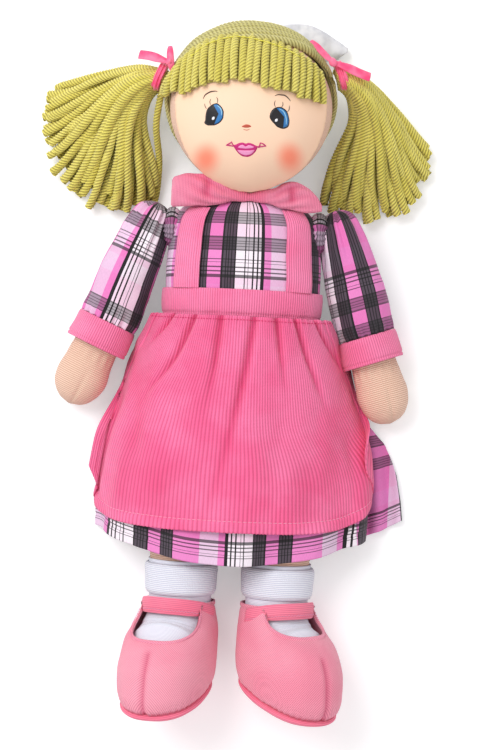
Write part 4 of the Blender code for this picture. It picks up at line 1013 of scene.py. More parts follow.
def make_cap():
    """Yarn laid from tie to tie over the crown and down to the nape, on a matted ground that shows the
    yarn's painted shade between the strands.
    """
    first, last = math.radians(46), math.radians(229)
    across = np.linspace(0.012, 0.988, 70)
    ground = np.stack([cap_arc(turn, across, 0.0024) for turn in np.linspace(first, last, 90)])
    ground = rest(ground, 0.0012)
    # The ground has no ply value, so it takes the yarn's dark valley tone: painted shade that shows
    # between the strands
    base = shell("hair_ground", ground, CAP_YARN, wrap=False, up=(0, 0.3, -1))
    finish_cloth(base, GROUND_THICK, "head", "yarn")

    count = 35
    paths, sizes = [], []
    share = np.linspace(0.008, 0.992, 90)
    for number in range(count):
        turn = first + (last - first) * number / (count - 1)
        path = cap_arc(turn, share, 0.0040)
        near = np.minimum(share, 1 - share)
        size = YARN_RADIUS * (0.45 + 0.57 * soften(near / 0.16))
        drift = ripple(path, 0.022, 20.0 + 7 * number) * 0.0012 * soften(near / 0.1)
        path = path + Z_AXIS * drift[:, None] * abs(math.sin(turn))
        path = path + Y_AXIS * (drift * abs(math.cos(turn)))[:, None]
        lift = ripple(path, 0.015, 50.0 + 3 * number) * 0.0005
        path = path + unit(path - HEAD) * lift[:, None]
        path[:, 2] = np.maximum(path[:, 2], size + 0.0004)
        paths.append(path)
        sizes.append(size)
    cap = spin("hair_cap_yarn", paths, sizes, CAP_YARN, step=0.0011, sides=12, plies=4, lobe=0.10,
               turn=0.0100)
    finish_piece(cap, "head", "yarn", "hair_cap")


def make_fringe():
    """Yarn that hangs from the sewn line over the forehead, and the line of thread itself."""
    seam, edge = route(SEAM_LINE, 200), route(FRINGE_EDGE, 200)
    rows = np.linspace(0, 1, 30)[:, None, None]
    flat = seam[None] * (1 - rows) + edge[None] * rows
    ground = over_face(flat, 0.0034)[1:-2, ::2]
    # The ground has no ply value, so it takes the yarn's dark valley tone: painted shade that shows
    # between the strands
    base = shell("fringe_ground", ground, YARN, wrap=False)
    finish_cloth(base, GROUND_THICK, "head", "yarn")

    count = 23
    paths, sizes = [], []
    share = np.linspace(0, 1, 46)
    for number in range(count):
        at = (number + 0.5) / count
        start, stop = seam[int(at * 199)], edge[int(at * 199)]
        reach = 1 + 0.035 * math.sin(number * 2.4) + 0.03 * math.sin(number * 5.1)
        line = start + (stop - start) * (share * reach)[:, None]
        line[:, 0] += np.sin(share * 2.6 + number * 1.7) * 0.0007 * share
        lift = FACE_OUT + 0.0030 + 0.0007 * np.sin(math.pi * share) + 0.0004 * math.sin(number * 3.3)
        lift = lift - 0.0012 * (1 - soften(share / 0.12))
        path = over_face(line, 0.0)
        paths.append(path + unit((path - HEAD) / HEAD_HALF ** 2) * lift[:, None])
        thin = 1 - 0.12 * soften(share * 4 - 3)
        sizes.append(0.00245 * (0.86 + 0.16 * soften(share / 0.3)) * thin)
    fringe = spin("fringe_yarn", paths, sizes, YARN, step=0.0007, sides=12, plies=4, lobe=0.13,
                  turn=0.0088)
    finish_piece(fringe, "head", "yarn", "fringe")

    line = route(SEAM_LINE[1:-1], 240)
    points = over_face(line, 0.0076)
    dip = Z_AXIS * 0.0010 * (2 * np.linspace(0, 1, 9)[:, None] - 1) ** 4
    stitches = [stitch - dip for stitch in stitches_on(points, 0.0040, 0.0031, 0.001, 0.003, 9)]
    seam_thread = spin("hair_seam_thread", stitches, [0.00042] * len(stitches), STITCH, step=0.0005,
                       sides=8)
    finish_piece(seam_thread, "head", "yarn")


FAN_ENDS = {
    "left": ((-127, 191), (-136, 181), (-139, 170), (-138, 154), (-136, 141), (-131, 130),
             (-122, 121), (-112, 113), (-100, 107), (-86, 106), (-72, 108), (-60, 116)),
    "right": ((118, 160), (122, 150), (122, 140), (118, 130), (112, 119), (104, 111), (92, 108),
              (81, 106), (69, 107), (57, 111), (48, 119)),
}
FAN_HEIGHTS = ((0.00, 49, 6.0), (0.08, 47, 7.5), (0.20, 38, 11.5), (0.34, 27, 14.0),
               (0.50, 19, 15.0), (0.66, 15.5, 14.0), (0.80, 12.5, 11.0), (0.92, 9.5, 7.5),
               (1.00, 7.5, 4.8))
STRAY = ((-58.5, 183, 44), (-62, 160, 30), (-60, 138, 12), (-61, 120, 5), (-64, 106.5, 3))
LAYERS = ((15, 1.0, 0.88, 0.0), (17, 0.45, 0.98, 0.5), (15, -0.15, 1.00, 0.2),
          (14, -0.85, 0.96, 0.6))


def make_pigtail(name):
    """A bunch of yarn that fans out from its tie, in layers from the floor to the top."""
    side = SIDES[name]
    ends = route(FAN_ENDS[name], 300)
    if name == "left":
        ends = ends[::-1]
    tie = head_at(math.pi / 2, TIE_TURNS[name], 0.0061)
    outward = np.array([side * 0.93, 0.36, 0])
    tangent = np.array([-outward[1], outward[0], 0]) * side
    share = np.linspace(0, 1, 60)
    height, depth = (profile(FAN_HEIGHTS, share) * MM).T
    paths, sizes = [], []
    for layer, (count, level, reach, shift) in enumerate(LAYERS):
        for number in range(count):
            at = (number + 0.5 + shift * 0.5) / (count + 0.5)
            fan = 2 * at - 1 if name == "left" else 1 - 2 * at
            jitter, sway, curl, droop = (2 * (draw - math.floor(draw)) - 1 for draw in (
                math.sin(number * 12.9898 + layer * 78.2 + turn * 31.7 + side) * 43758.5
                for turn in range(4)))
            stop = np.append(ends[int(at * 299)], 0)
            start = tie + tangent * fan * 0.0062 + outward * 0.001
            start[2] = 0
            ray = stop - start
            length = np.linalg.norm(ray)
            stop = start + ray * min(reach * (1 + 0.09 * jitter), 1.0) + tangent * 0.0020 * sway
            way = outward * 0.62 + ray / length * 0.5
            one = start + way / np.linalg.norm(way) * length * 0.42 + tangent * 0.0030 * sway
            two = stop - ray * 0.30 + tangent * 0.0075 * curl
            t = share[:, None]
            flat = ((1 - t) ** 3 * start + 3 * (1 - t) ** 2 * t * one + 3 * (1 - t) * t**2 * two
                    + t**3 * stop)
            bend = np.sin(share * 6.0 + 4 * curl) * 0.0016 * share * droop
            flat = flat + tangent * bend[:, None]
            size = YARN_RADIUS * (0.40 + 0.62 * soften(share / 0.24))
            crown = math.sqrt(max(1 - (0.93 * fan) ** 2, 0.02))
            rise = height * (0.55 + 0.45 * crown) + level * depth * crown
            rise = rise + 0.0016 * droop * np.sin(share * 6 + 3 * jitter) * soften(share / 0.3)
            flat[:, 2] = np.maximum(rise, size + 0.0004)
            paths.append(flat)
            sizes.append(size * (1.04 + 0.08 * droop))
    if name == "left":
        paths.append(route(STRAY, 60))
        sizes.append(np.full(60, YARN_RADIUS * 0.9))
    bunch = spin(f"pigtail_yarn_{name}", paths, sizes, YARN, step=0.0009, sides=12, plies=4,
                 lobe=0.13, turn=0.0088)
    finish_piece(bunch, f"pigtail_{name}", "yarn", f"pigtail_{name}")
    make_tie(name, tie, outward, tangent)


def strip(name, points, widths, up):
    """A satin ribbon along a path, with its width turned to face up and its edges curled down."""
    ahead = unit(np.gradient(points, axis=0))
    over = unit(np.cross(ahead, up))
    square = np.cross(over, ahead)
    place = np.linspace(-1, 1, 12)
    grid = (points[:, None] + over[:, None] * (widths[:, None] / 2 * place)[..., None]
            - square[:, None] * (0.0006 * place ** 2)[:, None])
    return thicken(shell(name, grid, RIBBON, wrap=False, up=up), RIBBON_THICK)


RIBBONS = {
    "left": (((-73.6, 202.4, 56.0), (-67, 201.4, 58.5), (-60, 199.4, 60.0), (-54, 197.6, 60.5)),
             ((-51.2, 191.0, 60.0), (-52.4, 196.0, 62.5), (-53.2, 201.5, 63.2), (-53.6, 207.5, 61.5)),
             (-53.0, 198.0, 60.8)),
    "right": (((76.0, 194.5, 56.5), (69, 196.4, 59.0), (60, 199.6, 61.0), (52, 202.0, 61.8)),
              ((36.5, 215.5, 60.5), (40.5, 211.5, 63.2), (45.5, 206.5, 64.2), (50.5, 202.4, 63.4)),
              (51.0, 201.8, 62.0)),
}


def make_tie(name, tie, outward, tangent):
    """The satin band wound round the yarn, and the ribbon knotted on it."""
    side = SIDES[name]
    share = np.linspace(0, 1, 26)
    centres = tie + outward * (0.0014 + 0.0056 * share[:, None])
    grow = 0.0014 * np.sin(math.pi * share) ** 0.5 + 0.0005 * np.sin(share * TAU * 2.5)
    grid = rings(centres, tangent * side, Z_AXIS, 0.0082 + grow, 0.0076 + grow, 48)
    grid = swell(grid, ripple(grid, 0.004, 3.0 + side) * 0.0004)
    band = shell(f"tie_band_{name}", grid, RIBBON)
    finish_piece(band, f"pigtail_{name}", "pink_satin", f"hair_tie_{name}")

    tail, loop, knot = RIBBONS[name]
    run = np.linspace(0, 1, 40)
    pieces = []
    for part, line, pinched in (("tail", tail, 6.2 * (1 - 0.45 * soften(run * 2 - 1))),
                                ("loop", loop, 4.6 * (1 - 0.4 * np.abs(2 * run - 1) ** 3))):
        pieces.append(strip(f"ribbon_{part}_{name}", route(line, 40), pinched * MM,
                            (0.15 * side, 0.25, 1.0)))
    turn = np.linspace(0, 1, 20)
    centres = np.array(knot) * MM + outward * ((turn[:, None] - 0.5) * 0.0048)
    size = 0.0026 * np.sin(math.pi * np.clip(turn, 0.04, 0.96)) ** 0.45
    grid = rings(centres, tangent, Z_AXIS, size * 1.2, size, 32)
    grid = swell(grid, ripple(grid, 0.0025, 5.0) * 0.0004)
    pieces.append(shell(f"ribbon_knot_{name}", grid, RIBBON))
    for piece in pieces:
        finish_piece(piece, f"pigtail_{name}", "pink_satin")
    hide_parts(f"ribbon_{name}")


TAPE_CREST = ((9, 226, 22), (20, 230, 21), (33, 231, 19), (46, 227.5, 15), (56, 223, 9), (63, 219, 6))
TAPE_TUCK = ((11, 208, 19), (22, 208.5, 18), (34, 209, 16), (44, 210, 13), (51, 212, 8), (57, 214, 5))
TAPE_FOLD = 0.62


def make_tape():
    """The glossy white tape, folded over on itself behind the crown."""
    crest, tuck = (route(line, 50) for line in (TAPE_CREST, TAPE_TUCK))
    over = crest + (0, 0.0015, 0) - Z_AXIS * 0.0045
    rows = []
    for place in np.linspace(0, 1, 30):
        first, last, bow = ((tuck, crest, Z_AXIS * 0.0022) if place < TAPE_FOLD
                            else (crest, over, Y_AXIS * 0.0026))
        part = place / TAPE_FOLD if place < TAPE_FOLD else (place - TAPE_FOLD) / (1 - TAPE_FOLD)
        rows.append(first * (1 - part) + last * part + bow * math.sin(math.pi * part))
    grid = np.stack(rows)
    dents = ripple(grid, 0.016, 4.0) * 0.0022
    grid[..., 2] += dents + ripple(grid * (1, 0.4, 1), 0.006, 9.0) * 0.0009
    tape = shell("white_tape", rest(grid, 0.0012), TAPE, wrap=False)
    finish_cloth(tape, TAPE_THICK, "head", "white_satin", "head_tape")


# Arms, sleeves and cuffs

ARM_ANGLE = {"left": math.radians(23.5), "right": math.radians(19)}
SHOULDER = np.array([0.060, 0.096, 0.031])
ARM_LENGTH, ARM_HALF, ARM_TIP_Z = 0.132, 0.0165, 0.0125
ARM_TABLE = (
    (-0.071, 0.04, 0.03), (-0.062, 0.28, 0.18), (-0.045, 0.43, 0.27), (-0.022, 0.54, 0.33),
    (0.00, 0.57, 0.36), (0.10, 0.67, 0.64), (0.20, 0.82, 0.84), (0.35, 0.95, 0.97),
    (0.50, 1.00, 1.00), (0.62, 0.95, 0.94), (0.70, 0.91, 0.90), (0.77, 0.97, 0.92),
    (0.84, 1.04, 0.93), (0.90, 0.97, 0.85), (0.95, 0.77, 0.68), (0.985, 0.45, 0.40),
    (1.00, 0.06, 0.05))
TAB_ENDS, TAB_HALF = (0.0478, 0.0503), 0.0084
CUFF_START, CUFF_LENGTH, CUFF_WIDTHS = 0.5423, 0.0182, (0.0194, 0.0206)
SLEEVE_HALF = 0.0198
SLEEVE_TABLE = (
    (-0.102, 0.10, 0.08, 0.14), (-0.096, 0.26, 0.24, 0.135), (-0.080, 0.42, 0.40, 0.13),
    (-0.050, 0.60, 0.62, 0.12), (0.015, 0.72, 0.80, 0.12), (0.115, 0.84, 0.88, 0.12),
    (0.230, 0.92, 0.93, 0.10), (0.380, 0.99, 0.97, 0.05), (0.500, 1.00, 1.00, 0.00),
    (0.540, 0.96, 0.96, 0.00))


def arm_lines(name, shares, shift=0.0):
    """The middle of the arm at each share of its length, its outward way and its upward way."""
    side, angle = SIDES[name], ARM_ANGLE[name]
    along = np.array([side * math.sin(angle), -math.cos(angle), 0])
    outward = np.array([side * math.cos(angle), math.sin(angle), 0])
    centres = SHOULDER * (side, 1, 1) + along * (shares * ARM_LENGTH)[:, None]
    centres = centres + outward * np.asarray(shift)[..., None]
    centres[:, 2] += (ARM_TIP_Z - SHOULDER[2]) * np.maximum(shares, 0)
    return centres, outward, Z_AXIS


def make_arm(name):
    """The stuffed arm with its mitten hand, and the tab that sews it to the torso."""
    side = SIDES[name]
    shares = np.concatenate([np.linspace(-0.071, 0.9, 80), 1 - 0.1 * np.linspace(1, 0, 26)[1:] ** 2])
    width, depth = (profile(ARM_TABLE, shares) * ARM_HALF).T
    grid = rings(*arm_lines(name, shares), width, depth, 84, floor=0.0004, power=2.15)
    turn = turn_steps(84)
    hand = soften((shares - 0.78) / 0.08) * (1 - soften((shares - 0.97) / 0.03))
    dart = bell(turn - math.pi / 2 + 0.18 * side, 0.07)
    amount = -0.0009 * hand[:, None] * dart + ripple(grid, 0.016, 3.0 + side) * 0.0006
    amount = amount + 0.0004 * bell(shares - 0.72, 0.035)[:, None] * np.sin(turn * 14)
    arm = shell(f"arm_form_{name}", rest(swell(grid, amount)), SKIN)
    finish_piece(arm, f"arm_{name}", "skin", f"arm_{name}", fill=0.9)

    centres = np.tile(SHOULDER, (6, 1))
    centres[:, 0] = np.linspace(*TAB_ENDS, 6) * side
    tab = shell(f"arm_seam_{name}", rings(centres, Y_AXIS, Z_AXIS, TAB_HALF, TAB_HALF, 32), SKIN)
    finish_piece(tab, f"arm_tab_{name}", "skin", f"arm_tab_{name}", fill=0.5)


def make_sleeve(name):
    """A full sleeve, gathered at the shoulder and into its ribbed cuff."""
    side = SIDES[name]
    shares = np.concatenate([np.linspace(-0.102, -0.04, 16)[:-1], np.linspace(-0.04, 0.541, 90)])
    width, depth, shift = (profile(SLEEVE_TABLE, shares) * SLEEVE_HALF).T
    grid = rings(*arm_lines(name, shares, shift), width, depth, 132, floor=0.0008)
    turn, share = turn_steps(132), shares[:, None]
    head = soften((share + 0.10) / 0.04) * (1 - soften((share - 0.02) / 0.20))
    wrist = soften((share - 0.42) / 0.12)
    folds = np.sin(turn * 15 + 2.2 * np.sin(turn * 3 + side)) * (0.0011 * head)
    folds = folds + np.sin(turn * 22 + 1.5 * np.sin(turn * 4)) * (0.0008 * wrist)
    drag = ripple(grid * (1.0, 0.45, 1.0), 0.017, 11.0 + side) * 0.0019
    drag = drag + ripple(grid, 0.009, 17.0 + side) * 0.0005
    amount = (folds + drag * (1 - 0.6 * wrist)) * soften((share + 0.102) / 0.03)
    amount = amount * (0.45 + 0.55 * np.clip(np.sin(turn), 0, 1) ** 0.5)
    grid = rest(swell(grid, amount), 0.0008)
    uv = lengths(grid, True)
    out, up_arm = uv[0, 33, 0] - uv[..., 0], uv[-1, 0, 1] - uv[..., 1]
    uv = (np.stack([0.0484 + out, 0.0215 - up_arm], -1) if name == "left"
          else np.stack([0.0193 - out, 0.0080 + up_arm], -1))
    sleeve = shell(f"sleeve_plaid_{name}", grid, PLAID, uv=uv, end=False)
    finish_cloth(sleeve, PLAID_THICK, f"arm_{name}", "plaid", f"sleeve_{name}")


def make_cuff(name):
    """The ribbed cuff at the end of a sleeve, turned in at its rim."""
    share = np.linspace(0, 1, 34)
    centres, outward, up = arm_lines(name, CUFF_START + CUFF_LENGTH / ARM_LENGTH * share)
    width = np.interp(share, (0, 1), CUFF_WIDTHS)
    grid = rings(centres, outward, up, width, width, 160, floor=0.0005)
    share = share[:, None]
    amount = 0.0007 * (1 - np.abs(2 * share - 1) ** 6) - 0.0006 * bell(share - 0.88, 0.03)
    amount = amount + ripple(grid, 0.012, 5.0 + SIDES[name]) * 0.0007
    grid = rest(swell(grid, amount), 0.0005)
    way = unit(grid[-1].mean(0) - grid[0].mean(0))
    grid[-1] += way * (0.00022 * np.sin(turn_steps(160) * 76))[:, None]
    inside = rest(swell(grid, -0.0014), 0.0018)
    closed = np.concatenate([grid, inside[::-1], grid[:1]], 0)
    cuff = shell(f"cuff_rib_{name}", closed[:-1], CUFF_RIB, uv=lengths(closed, True), ring=True)
    finish_piece(cuff, f"arm_{name}", "pink_cord", f"sleeve_cuff_{name}", fill=0.3)


def make_shoulder(name):
    """The gathered cloth that joins the sleeve to the bodice, round the arm's own seam."""
    side = SIDES[name]
    share = np.linspace(0, 1, 26)
    size = 0.0128 * (0.30 + 0.70 * np.sin(math.pi * np.clip(share, 0.02, 0.98)) ** 0.55)
    centres = np.tile(SHOULDER - Y_AXIS * 0.0015, (26, 1))
    centres[:, 0] = (0.0415 + 0.0135 * share) * side
    grid = rings(centres, Y_AXIS, Z_AXIS, size, size, 96)
    turn = turn_steps(96)
    folds = np.sin(turn * 17 + 1.5 * np.sin(turn * 3)) * 0.0007
    grid = swell(grid, folds + ripple(grid, 0.010, 13.0 + side) * 0.0008)
    finish_piece(shell(f"shoulder_puff_{name}", grid, PLAID), "torso", "plaid", fill=0.3)


# Skirt and apron

WAIST_Y, SKIRT_LENGTH, SKIRT_HALF, SKIRT_HIGH = 0.0367, 0.161, 0.074, 0.0590
SKIRT_FLANGE, HEM_RISE, SKIRT_FLOOR, RIDGE_X = 0.050, 0.0126, 0.0015, 0.079
SKIRT_TABLE = (
    (0.00, 0.80, 1.000, 0.81, 0.81, 2.40), (0.14, 0.84, 1.000, 0.94, 0.90, 2.25),
    (0.28, 0.92, 0.985, 1.03, 0.97, 2.10), (0.43, 1.02, 0.965, 1.09, 1.13, 2.00),
    (0.58, 1.10, 0.950, 1.14, 1.36, 1.92), (0.75, 1.15, 0.940, 1.18, 1.48, 1.88),
    (0.90, 1.18, 0.930, 1.20, 1.53, 1.85), (1.00, 1.18, 0.925, 1.20, 1.55, 1.85))
PLAID_MIDDLE, PLAID_PAST_RIDGE, PLAID_HEM, PLAID_EASE = 0.0488, 0.098, 0.0365, 1.03
APRON_LENGTH, APRON_HALF = 0.139, 0.097
APRON_TABLE = ((0.00, 0.53, 0.53), (0.25, 0.65, 0.63), (0.50, 0.83, 0.735), (0.75, 0.97, 0.91),
               (1.00, 1.01, 0.95))
APRON_RISE = {"left": 0.036, "right": 0.056}
CREASES = ((-0.65, -0.80, 0.22, 0.6), (-0.40, -0.36, 0.50, 1.0), (-0.15, 0.00, 0.55, 1.0),
           (0.10, -0.22, 1.10, 1.0), (0.30, 0.10, 0.40, 1.0), (0.50, 0.32, 0.55, 1.0),
           (0.75, 0.50, 0.40, 0.8))
PLEAT_DEPTH, CREASE_SHARE, HEM_LEVEL = 0.0036, 0.055, 0.0066
SOFT_FOLDS = ((-0.78, 0.05, 0.35, 0.0034), (0.70, 0.07, 0.50, 0.0030), (-0.30, 0.09, 0.62, 0.0016),
              (0.34, 0.08, 0.55, 0.0014), (-0.52, 0.06, 0.42, 0.0012))


def edges_at(table, share, columns, scale=1.0):
    """Columns of a table at any shares of its length, on straight lines through its rows."""
    table = np.array(table)
    share = np.clip(share, 0, 1)
    return [np.interp(share, table[:, 0], table[:, column]) * scale for column in columns]


def skirt_sample(share):
    """Half width over the legs, height and squareness of the skirt, at any grid of shares."""
    return edges_at(SKIRT_TABLE, share, (1, 2, 5))


def drape(share, across):
    """How far out and how high the skirt lies over the legs, then out on the floor."""
    half, high, power = skirt_sample(share)
    over = np.minimum(np.abs(across), 1)
    turn = over * math.pi / 2
    x = half * SKIRT_HALF * np.sin(turn) ** (2 / power)
    x = x + (np.abs(across) - over) * SKIRT_FLANGE
    wave = (1 + np.cos(TAU * 5 * across / 2)) / 2
    top = SKIRT_HIGH * high - SKIRT_FLOOR
    z = SKIRT_FLOOR + top * np.maximum(np.cos(turn), 0) ** (2 / power)
    return np.copysign(x, across), z + 0.0028 * np.clip(share, 0, 1) * wave


def across_at(share, x):
    """The place across the skirt whose distance from the middle is x."""
    half, _, power = skirt_sample(share)
    half = half * SKIRT_HALF
    inside = np.arcsin(np.clip(x / half, 0, 1) ** (power / 2)) / (math.pi / 2)
    return np.where(x > half, 1 + (x - half) / SKIRT_FLANGE, inside)


def skirt_drop(x):
    """The way down from the waist to the hem at x."""
    return SKIRT_LENGTH - HEM_RISE * (x / SKIRT_HALF) ** 2


def clear_of(grid, under, gap):
    """A cloth's points, raised where needed to lie gap metres off the cloth under them."""
    points, ways = under.reshape(-1, 3), facing(under, False).reshape(-1, 3)
    tree = kdtree.KDTree(len(points))
    for number, point in enumerate(points):
        tree.insert(point, number)
    tree.balance()
    # The lift is smoothed less each time, so that the last round leaves nothing too close
    for passes in (10, 4, 0):
        near = np.array([tree.find(point)[1] for point in grid.reshape(-1, 3)])
        off = ((grid.reshape(-1, 3) - points[near]) * ways[near]).sum(1)
        lift = (ways[near] * np.maximum(gap - off, 0)[:, None]).reshape(grid.shape)
        grid = grid + ease(lift, passes)
    return grid


def ridge(x, share):
    """A soft fold that runs down the skirt on the right, and lifts what lies on it."""
    return 0.0046 * bell(x - RIDGE_X, 0.0045) * soften((share - 0.42) / 0.15)


def plaid_place(x, share, start):
    """Where the skirt's cloth lies in the plaid."""
    return np.stack([start - x * PLAID_EASE, PLAID_HEM + SKIRT_LENGTH * (1 - share) + 0 * x], -1)


def finish_skirt(piece, node):
    """Thicken a part of the skirt and bake its placement into its mesh."""
    finish_cloth(piece, PLAID_THICK, None, "plaid", node)
    fold_at_waist(piece)


def make_skirt():
    """The plaid skirt: gathered at the waist, open below in soft folds, flat under the doll."""
    share = np.concatenate([np.linspace(0, 0.985, 116), np.linspace(0.99, 1.0, 4)])[:, None]
    ends = [across_at(share, edge) for edge in edges_at(SKIRT_TABLE, share, (3, 4), SKIRT_HALF)]
    across = np.linspace(0, 1, 250) * sum(ends) - ends[0]
    x, z = drape(share, across)
    grid = ease(np.stack([x, WAIST_Y - share * skirt_drop(x), z], -1), 80)
    x = grid[..., 0]
    out = facing(grid, False)
    grid = grid + out * 0.0012
    bare = np.maximum(soften((np.abs(x) - 0.055) / 0.015), soften((share - 0.80) / 0.10))
    phase = across * 17 + 0.8 * np.sin(across * 5)
    gather = np.sin(phase * 2.1) * 0.0007 * (1 - soften(share / 0.5))
    fold = (0.5 + 0.5 * np.sin(phase)) * 0.0034 * soften(share / 0.7) * bare
    drift = ripple(grid * (1, 0.5, 1), 0.026, 3.3) * 0.0016 * (0.3 + bare)
    fine = ripple(grid * (1, 0.6, 1), 0.009, 7.7) * 0.0006
    amount = np.maximum(gather + fold + drift + fine, -0.0006) + ridge(x, share)
    amount = amount - 0.0006 * bell(share - 0.955, 0.006)
    grid = rest(grid + out * amount[..., None], 0.0022)
    turned = np.arange(x.shape[1]) >= np.argmax(x[-1] > RIDGE_X)
    front = shell("skirt_plaid_front", grid, PLAID, wrap=False,
                  uv=plaid_place(x, share, np.where(turned, PLAID_PAST_RIDGE, PLAID_MIDDLE)))
    finish_skirt(front, "skirt_front")

    share = np.linspace(0, 1, 50)[:, None]
    left, right = edges_at(SKIRT_TABLE, share, (3, 4), SKIRT_HALF)
    x = -left + (left + right) * np.linspace(0, 1, 90)
    flat = np.stack([x, WAIST_Y - share * skirt_drop(x), 0.0009 + 0 * x], -1)
    flat[..., 2] += np.abs(ripple(flat, 0.03, 12.0)) * 0.0003
    back = shell("skirt_plaid_back", flat, PLAID, wrap=False, uv=plaid_place(x, share, PLAID_MIDDLE))
    finish_skirt(back, "skirt_back")
    return grid


def make_hem_stitches(grid, from_edge):
    """The sewn line of the hem, as short stitches that lie on the cloth."""
    line = []
    for column in range(6, grid.shape[1] - 6):
        away = from_edge[:, column]
        row = int(np.argmax(away < HEM_LEVEL))
        if row == 0 or away[-1] > HEM_LEVEL:
            continue
        share = (away[row - 1] - HEM_LEVEL) / max(away[row - 1] - away[row], 1e-9)
        line.append(grid[row - 1, column] * (1 - share) + grid[row, column] * share)
    line = np.array(line) + Z_AXIS * 0.0002
    hem = stitch_row("hem_stitches", line, 0.0033, 0.0023, 0.00024, PINK_THREAD)
    fold_at_waist(hem)


def apron_folds(part, share):
    """How far the apron's creases close its pleats, how far they cut in, and how much painted shade
    darkens them.
    """
    crease, fold, hollow = (np.zeros((len(share), len(part))) for _ in range(3))
    for start, lean, reach, depth in CREASES:
        away = (part - start - lean * share) / CREASE_SHARE
        fade = depth * soften(1 - share / reach)
        crease = crease + fade * bell(away, 1)
        fold = fold - 0.0022 * fade * bell(away, 0.30)
        fold = fold + 0.0009 * fade * bell(np.abs(away) - 0.9, 0.4)
        # Painted shade along each crease
        hollow = hollow + 0.75 * fade ** 0.7 * bell(away, 0.42)
    for middle, width, first, depth in SOFT_FOLDS:
        run = soften((share - first) / 0.2) * (1 - soften((share - 0.90) / 0.09))
        valley = run * bell(part - middle, width)
        fold = fold - depth * valley
        # Painted shade in each soft fold's valley
        hollow = hollow + 0.30 * valley
    return np.minimum(crease, 1), fold, hollow


def make_apron(skirt):
    """The ribbed apron, pleated into its waistband, with a turned hem and a lifted corner."""
    share = np.concatenate([np.linspace(0, 0.20, 34)[:-1], np.linspace(0.20, 1, 104)])[:, None]
    part = np.linspace(-1, 1, 262)
    edge = np.where(part < 0, *edges_at(APRON_TABLE, share, (1, 2), APRON_HALF))
    rise = np.where(part < 0, APRON_RISE["left"], APRON_RISE["right"])
    y = WAIST_Y - share * (APRON_LENGTH - rise * np.abs(part) ** 4.5)
    under = (WAIST_Y - y) / skirt_drop(edge * part)
    x, z = drape(under, part * across_at(under, edge))
    grid = ease(np.stack([x, y, z], -1), 150)
    out = facing(grid, False)
    grid = grid + out * (0.0048 + ridge(grid[..., 0], under))[..., None]
    crease, fold, hollow = apron_folds(part, share)
    height = PLEAT_DEPTH * (1 - crease) * (1 - share / 2) + fold
    gather = np.sin(part * 90 + 3 * np.sin(part * 13)) * 0.0004 * (1 - soften(share / 0.08))
    drag = ripple(grid * (1, 0.42, 1), 0.020, 5.5) * 0.0019 * soften(share / 0.25)
    fine = ripple(grid * (1, 0.6, 1), 0.008, 9.1) * 0.00045
    from_edge = np.minimum((1 - share) * 0.125, (1 - np.abs(part)) * edge)
    hem = 0.0007 * (1 - soften((from_edge - 0.0058) / 0.0008))
    hem = hem - 0.0007 * bell(from_edge - 0.0064, 0.0005)
    height = np.maximum(height + gather + drag + fine, -0.0006) + hem
    grid = grid + out * height[..., None]
    grid[-1, :, 1] += 0.0002 * (-1.0) ** np.arange(len(part))
    corner = soften((part - 0.80) / 0.18) * soften((share - 0.72) / 0.24)
    grid[..., 2] += 0.022 * corner
    grid[..., 0] -= 0.004 * corner ** 2
    grid = rest(clear_of(grid, skirt, 0.0024), 0.0040)
    place = np.stack([part * 0.088 + 0 * share, share * APRON_LENGTH + 0 * part], -1)
    apron = shell("apron_ribbed", grid, APRON, wrap=False, uv=place, hollow=hollow)
    waist = stitch_row("waist_stitches", grid[3] + Z_AXIS * 0.0003, 0.0021, 0.0011, 0.00026,
                       DEEP_THREAD)
    finish_piece(waist, "torso", "pink_cord")
    make_hem_stitches(grid, from_edge)
    finish_cloth(apron, APRON_THICK, None, "pink_cord", "apron_panel")
    fold_at_waist(apron)


# Legs, socks and shoes

LEG_X, LEG_AXIS_Z, LEG_PIVOT_Y, ANKLE_Y = 0.032, 0.0239, -0.032, -0.159
LEG_LENGTH, LEG_RADIUS = LEG_PIVOT_Y - ANKLE_Y, 0.022
LEG_TABLE = ((0.00, 0.72, 0.50), (0.06, 0.84, 0.70), (0.14, 0.97, 0.90), (0.25, 1.02, 0.99),
             (0.45, 1.02, 1.02), (0.70, 0.94, 0.95), (0.85, 0.88, 0.89), (1.00, 0.87, 0.88))
FOOT_ROLL = {"left": math.radians(-20), "right": math.radians(38)}
FOOT_PITCH, INSTEP, FOOT_LENGTH = math.radians(72), 0.030, 0.034
BEND = INSTEP * FOOT_PITCH
FOOT_HALF_WIDTH, FOOT_HALF_DEPTH, SOLE_REACH = 0.0257, 0.0240, 0.04848
FOOT_TABLE = ((0.00, 0.745, 0.807), (0.10, 0.83, 0.88), (0.22, 0.89, 0.92), (0.34, 0.95, 0.96),
              (0.46, 1.00, 0.99), (0.58, 1.02, 0.97), (0.70, 1.00, 0.90), (0.81, 0.93, 0.78),
              (0.90, 0.78, 0.60), (0.96, 0.56, 0.40), (1.00, 0.10, 0.08))
SOLE_WAY = np.array([0, -math.sin(FOOT_PITCH), -math.cos(FOOT_PITCH)])
TOE_WAY = np.array([0, -math.cos(FOOT_PITCH), math.sin(FOOT_PITCH)])
BEND_CENTRE = np.array([0, ANKLE_Y, INSTEP])
SOLE_TABLE = ((0.00, 0.95), (0.10, 1.00), (0.25, 1.02), (0.45, 0.99), (0.65, 0.91), (0.85, 0.74),
              (0.95, 0.55), (1.00, 0.30))
STRAP_ARCH, SOLE_HALF_WIDTH, SOLE_HALF_LENGTH = 0.0055, 0.0270, 0.0370


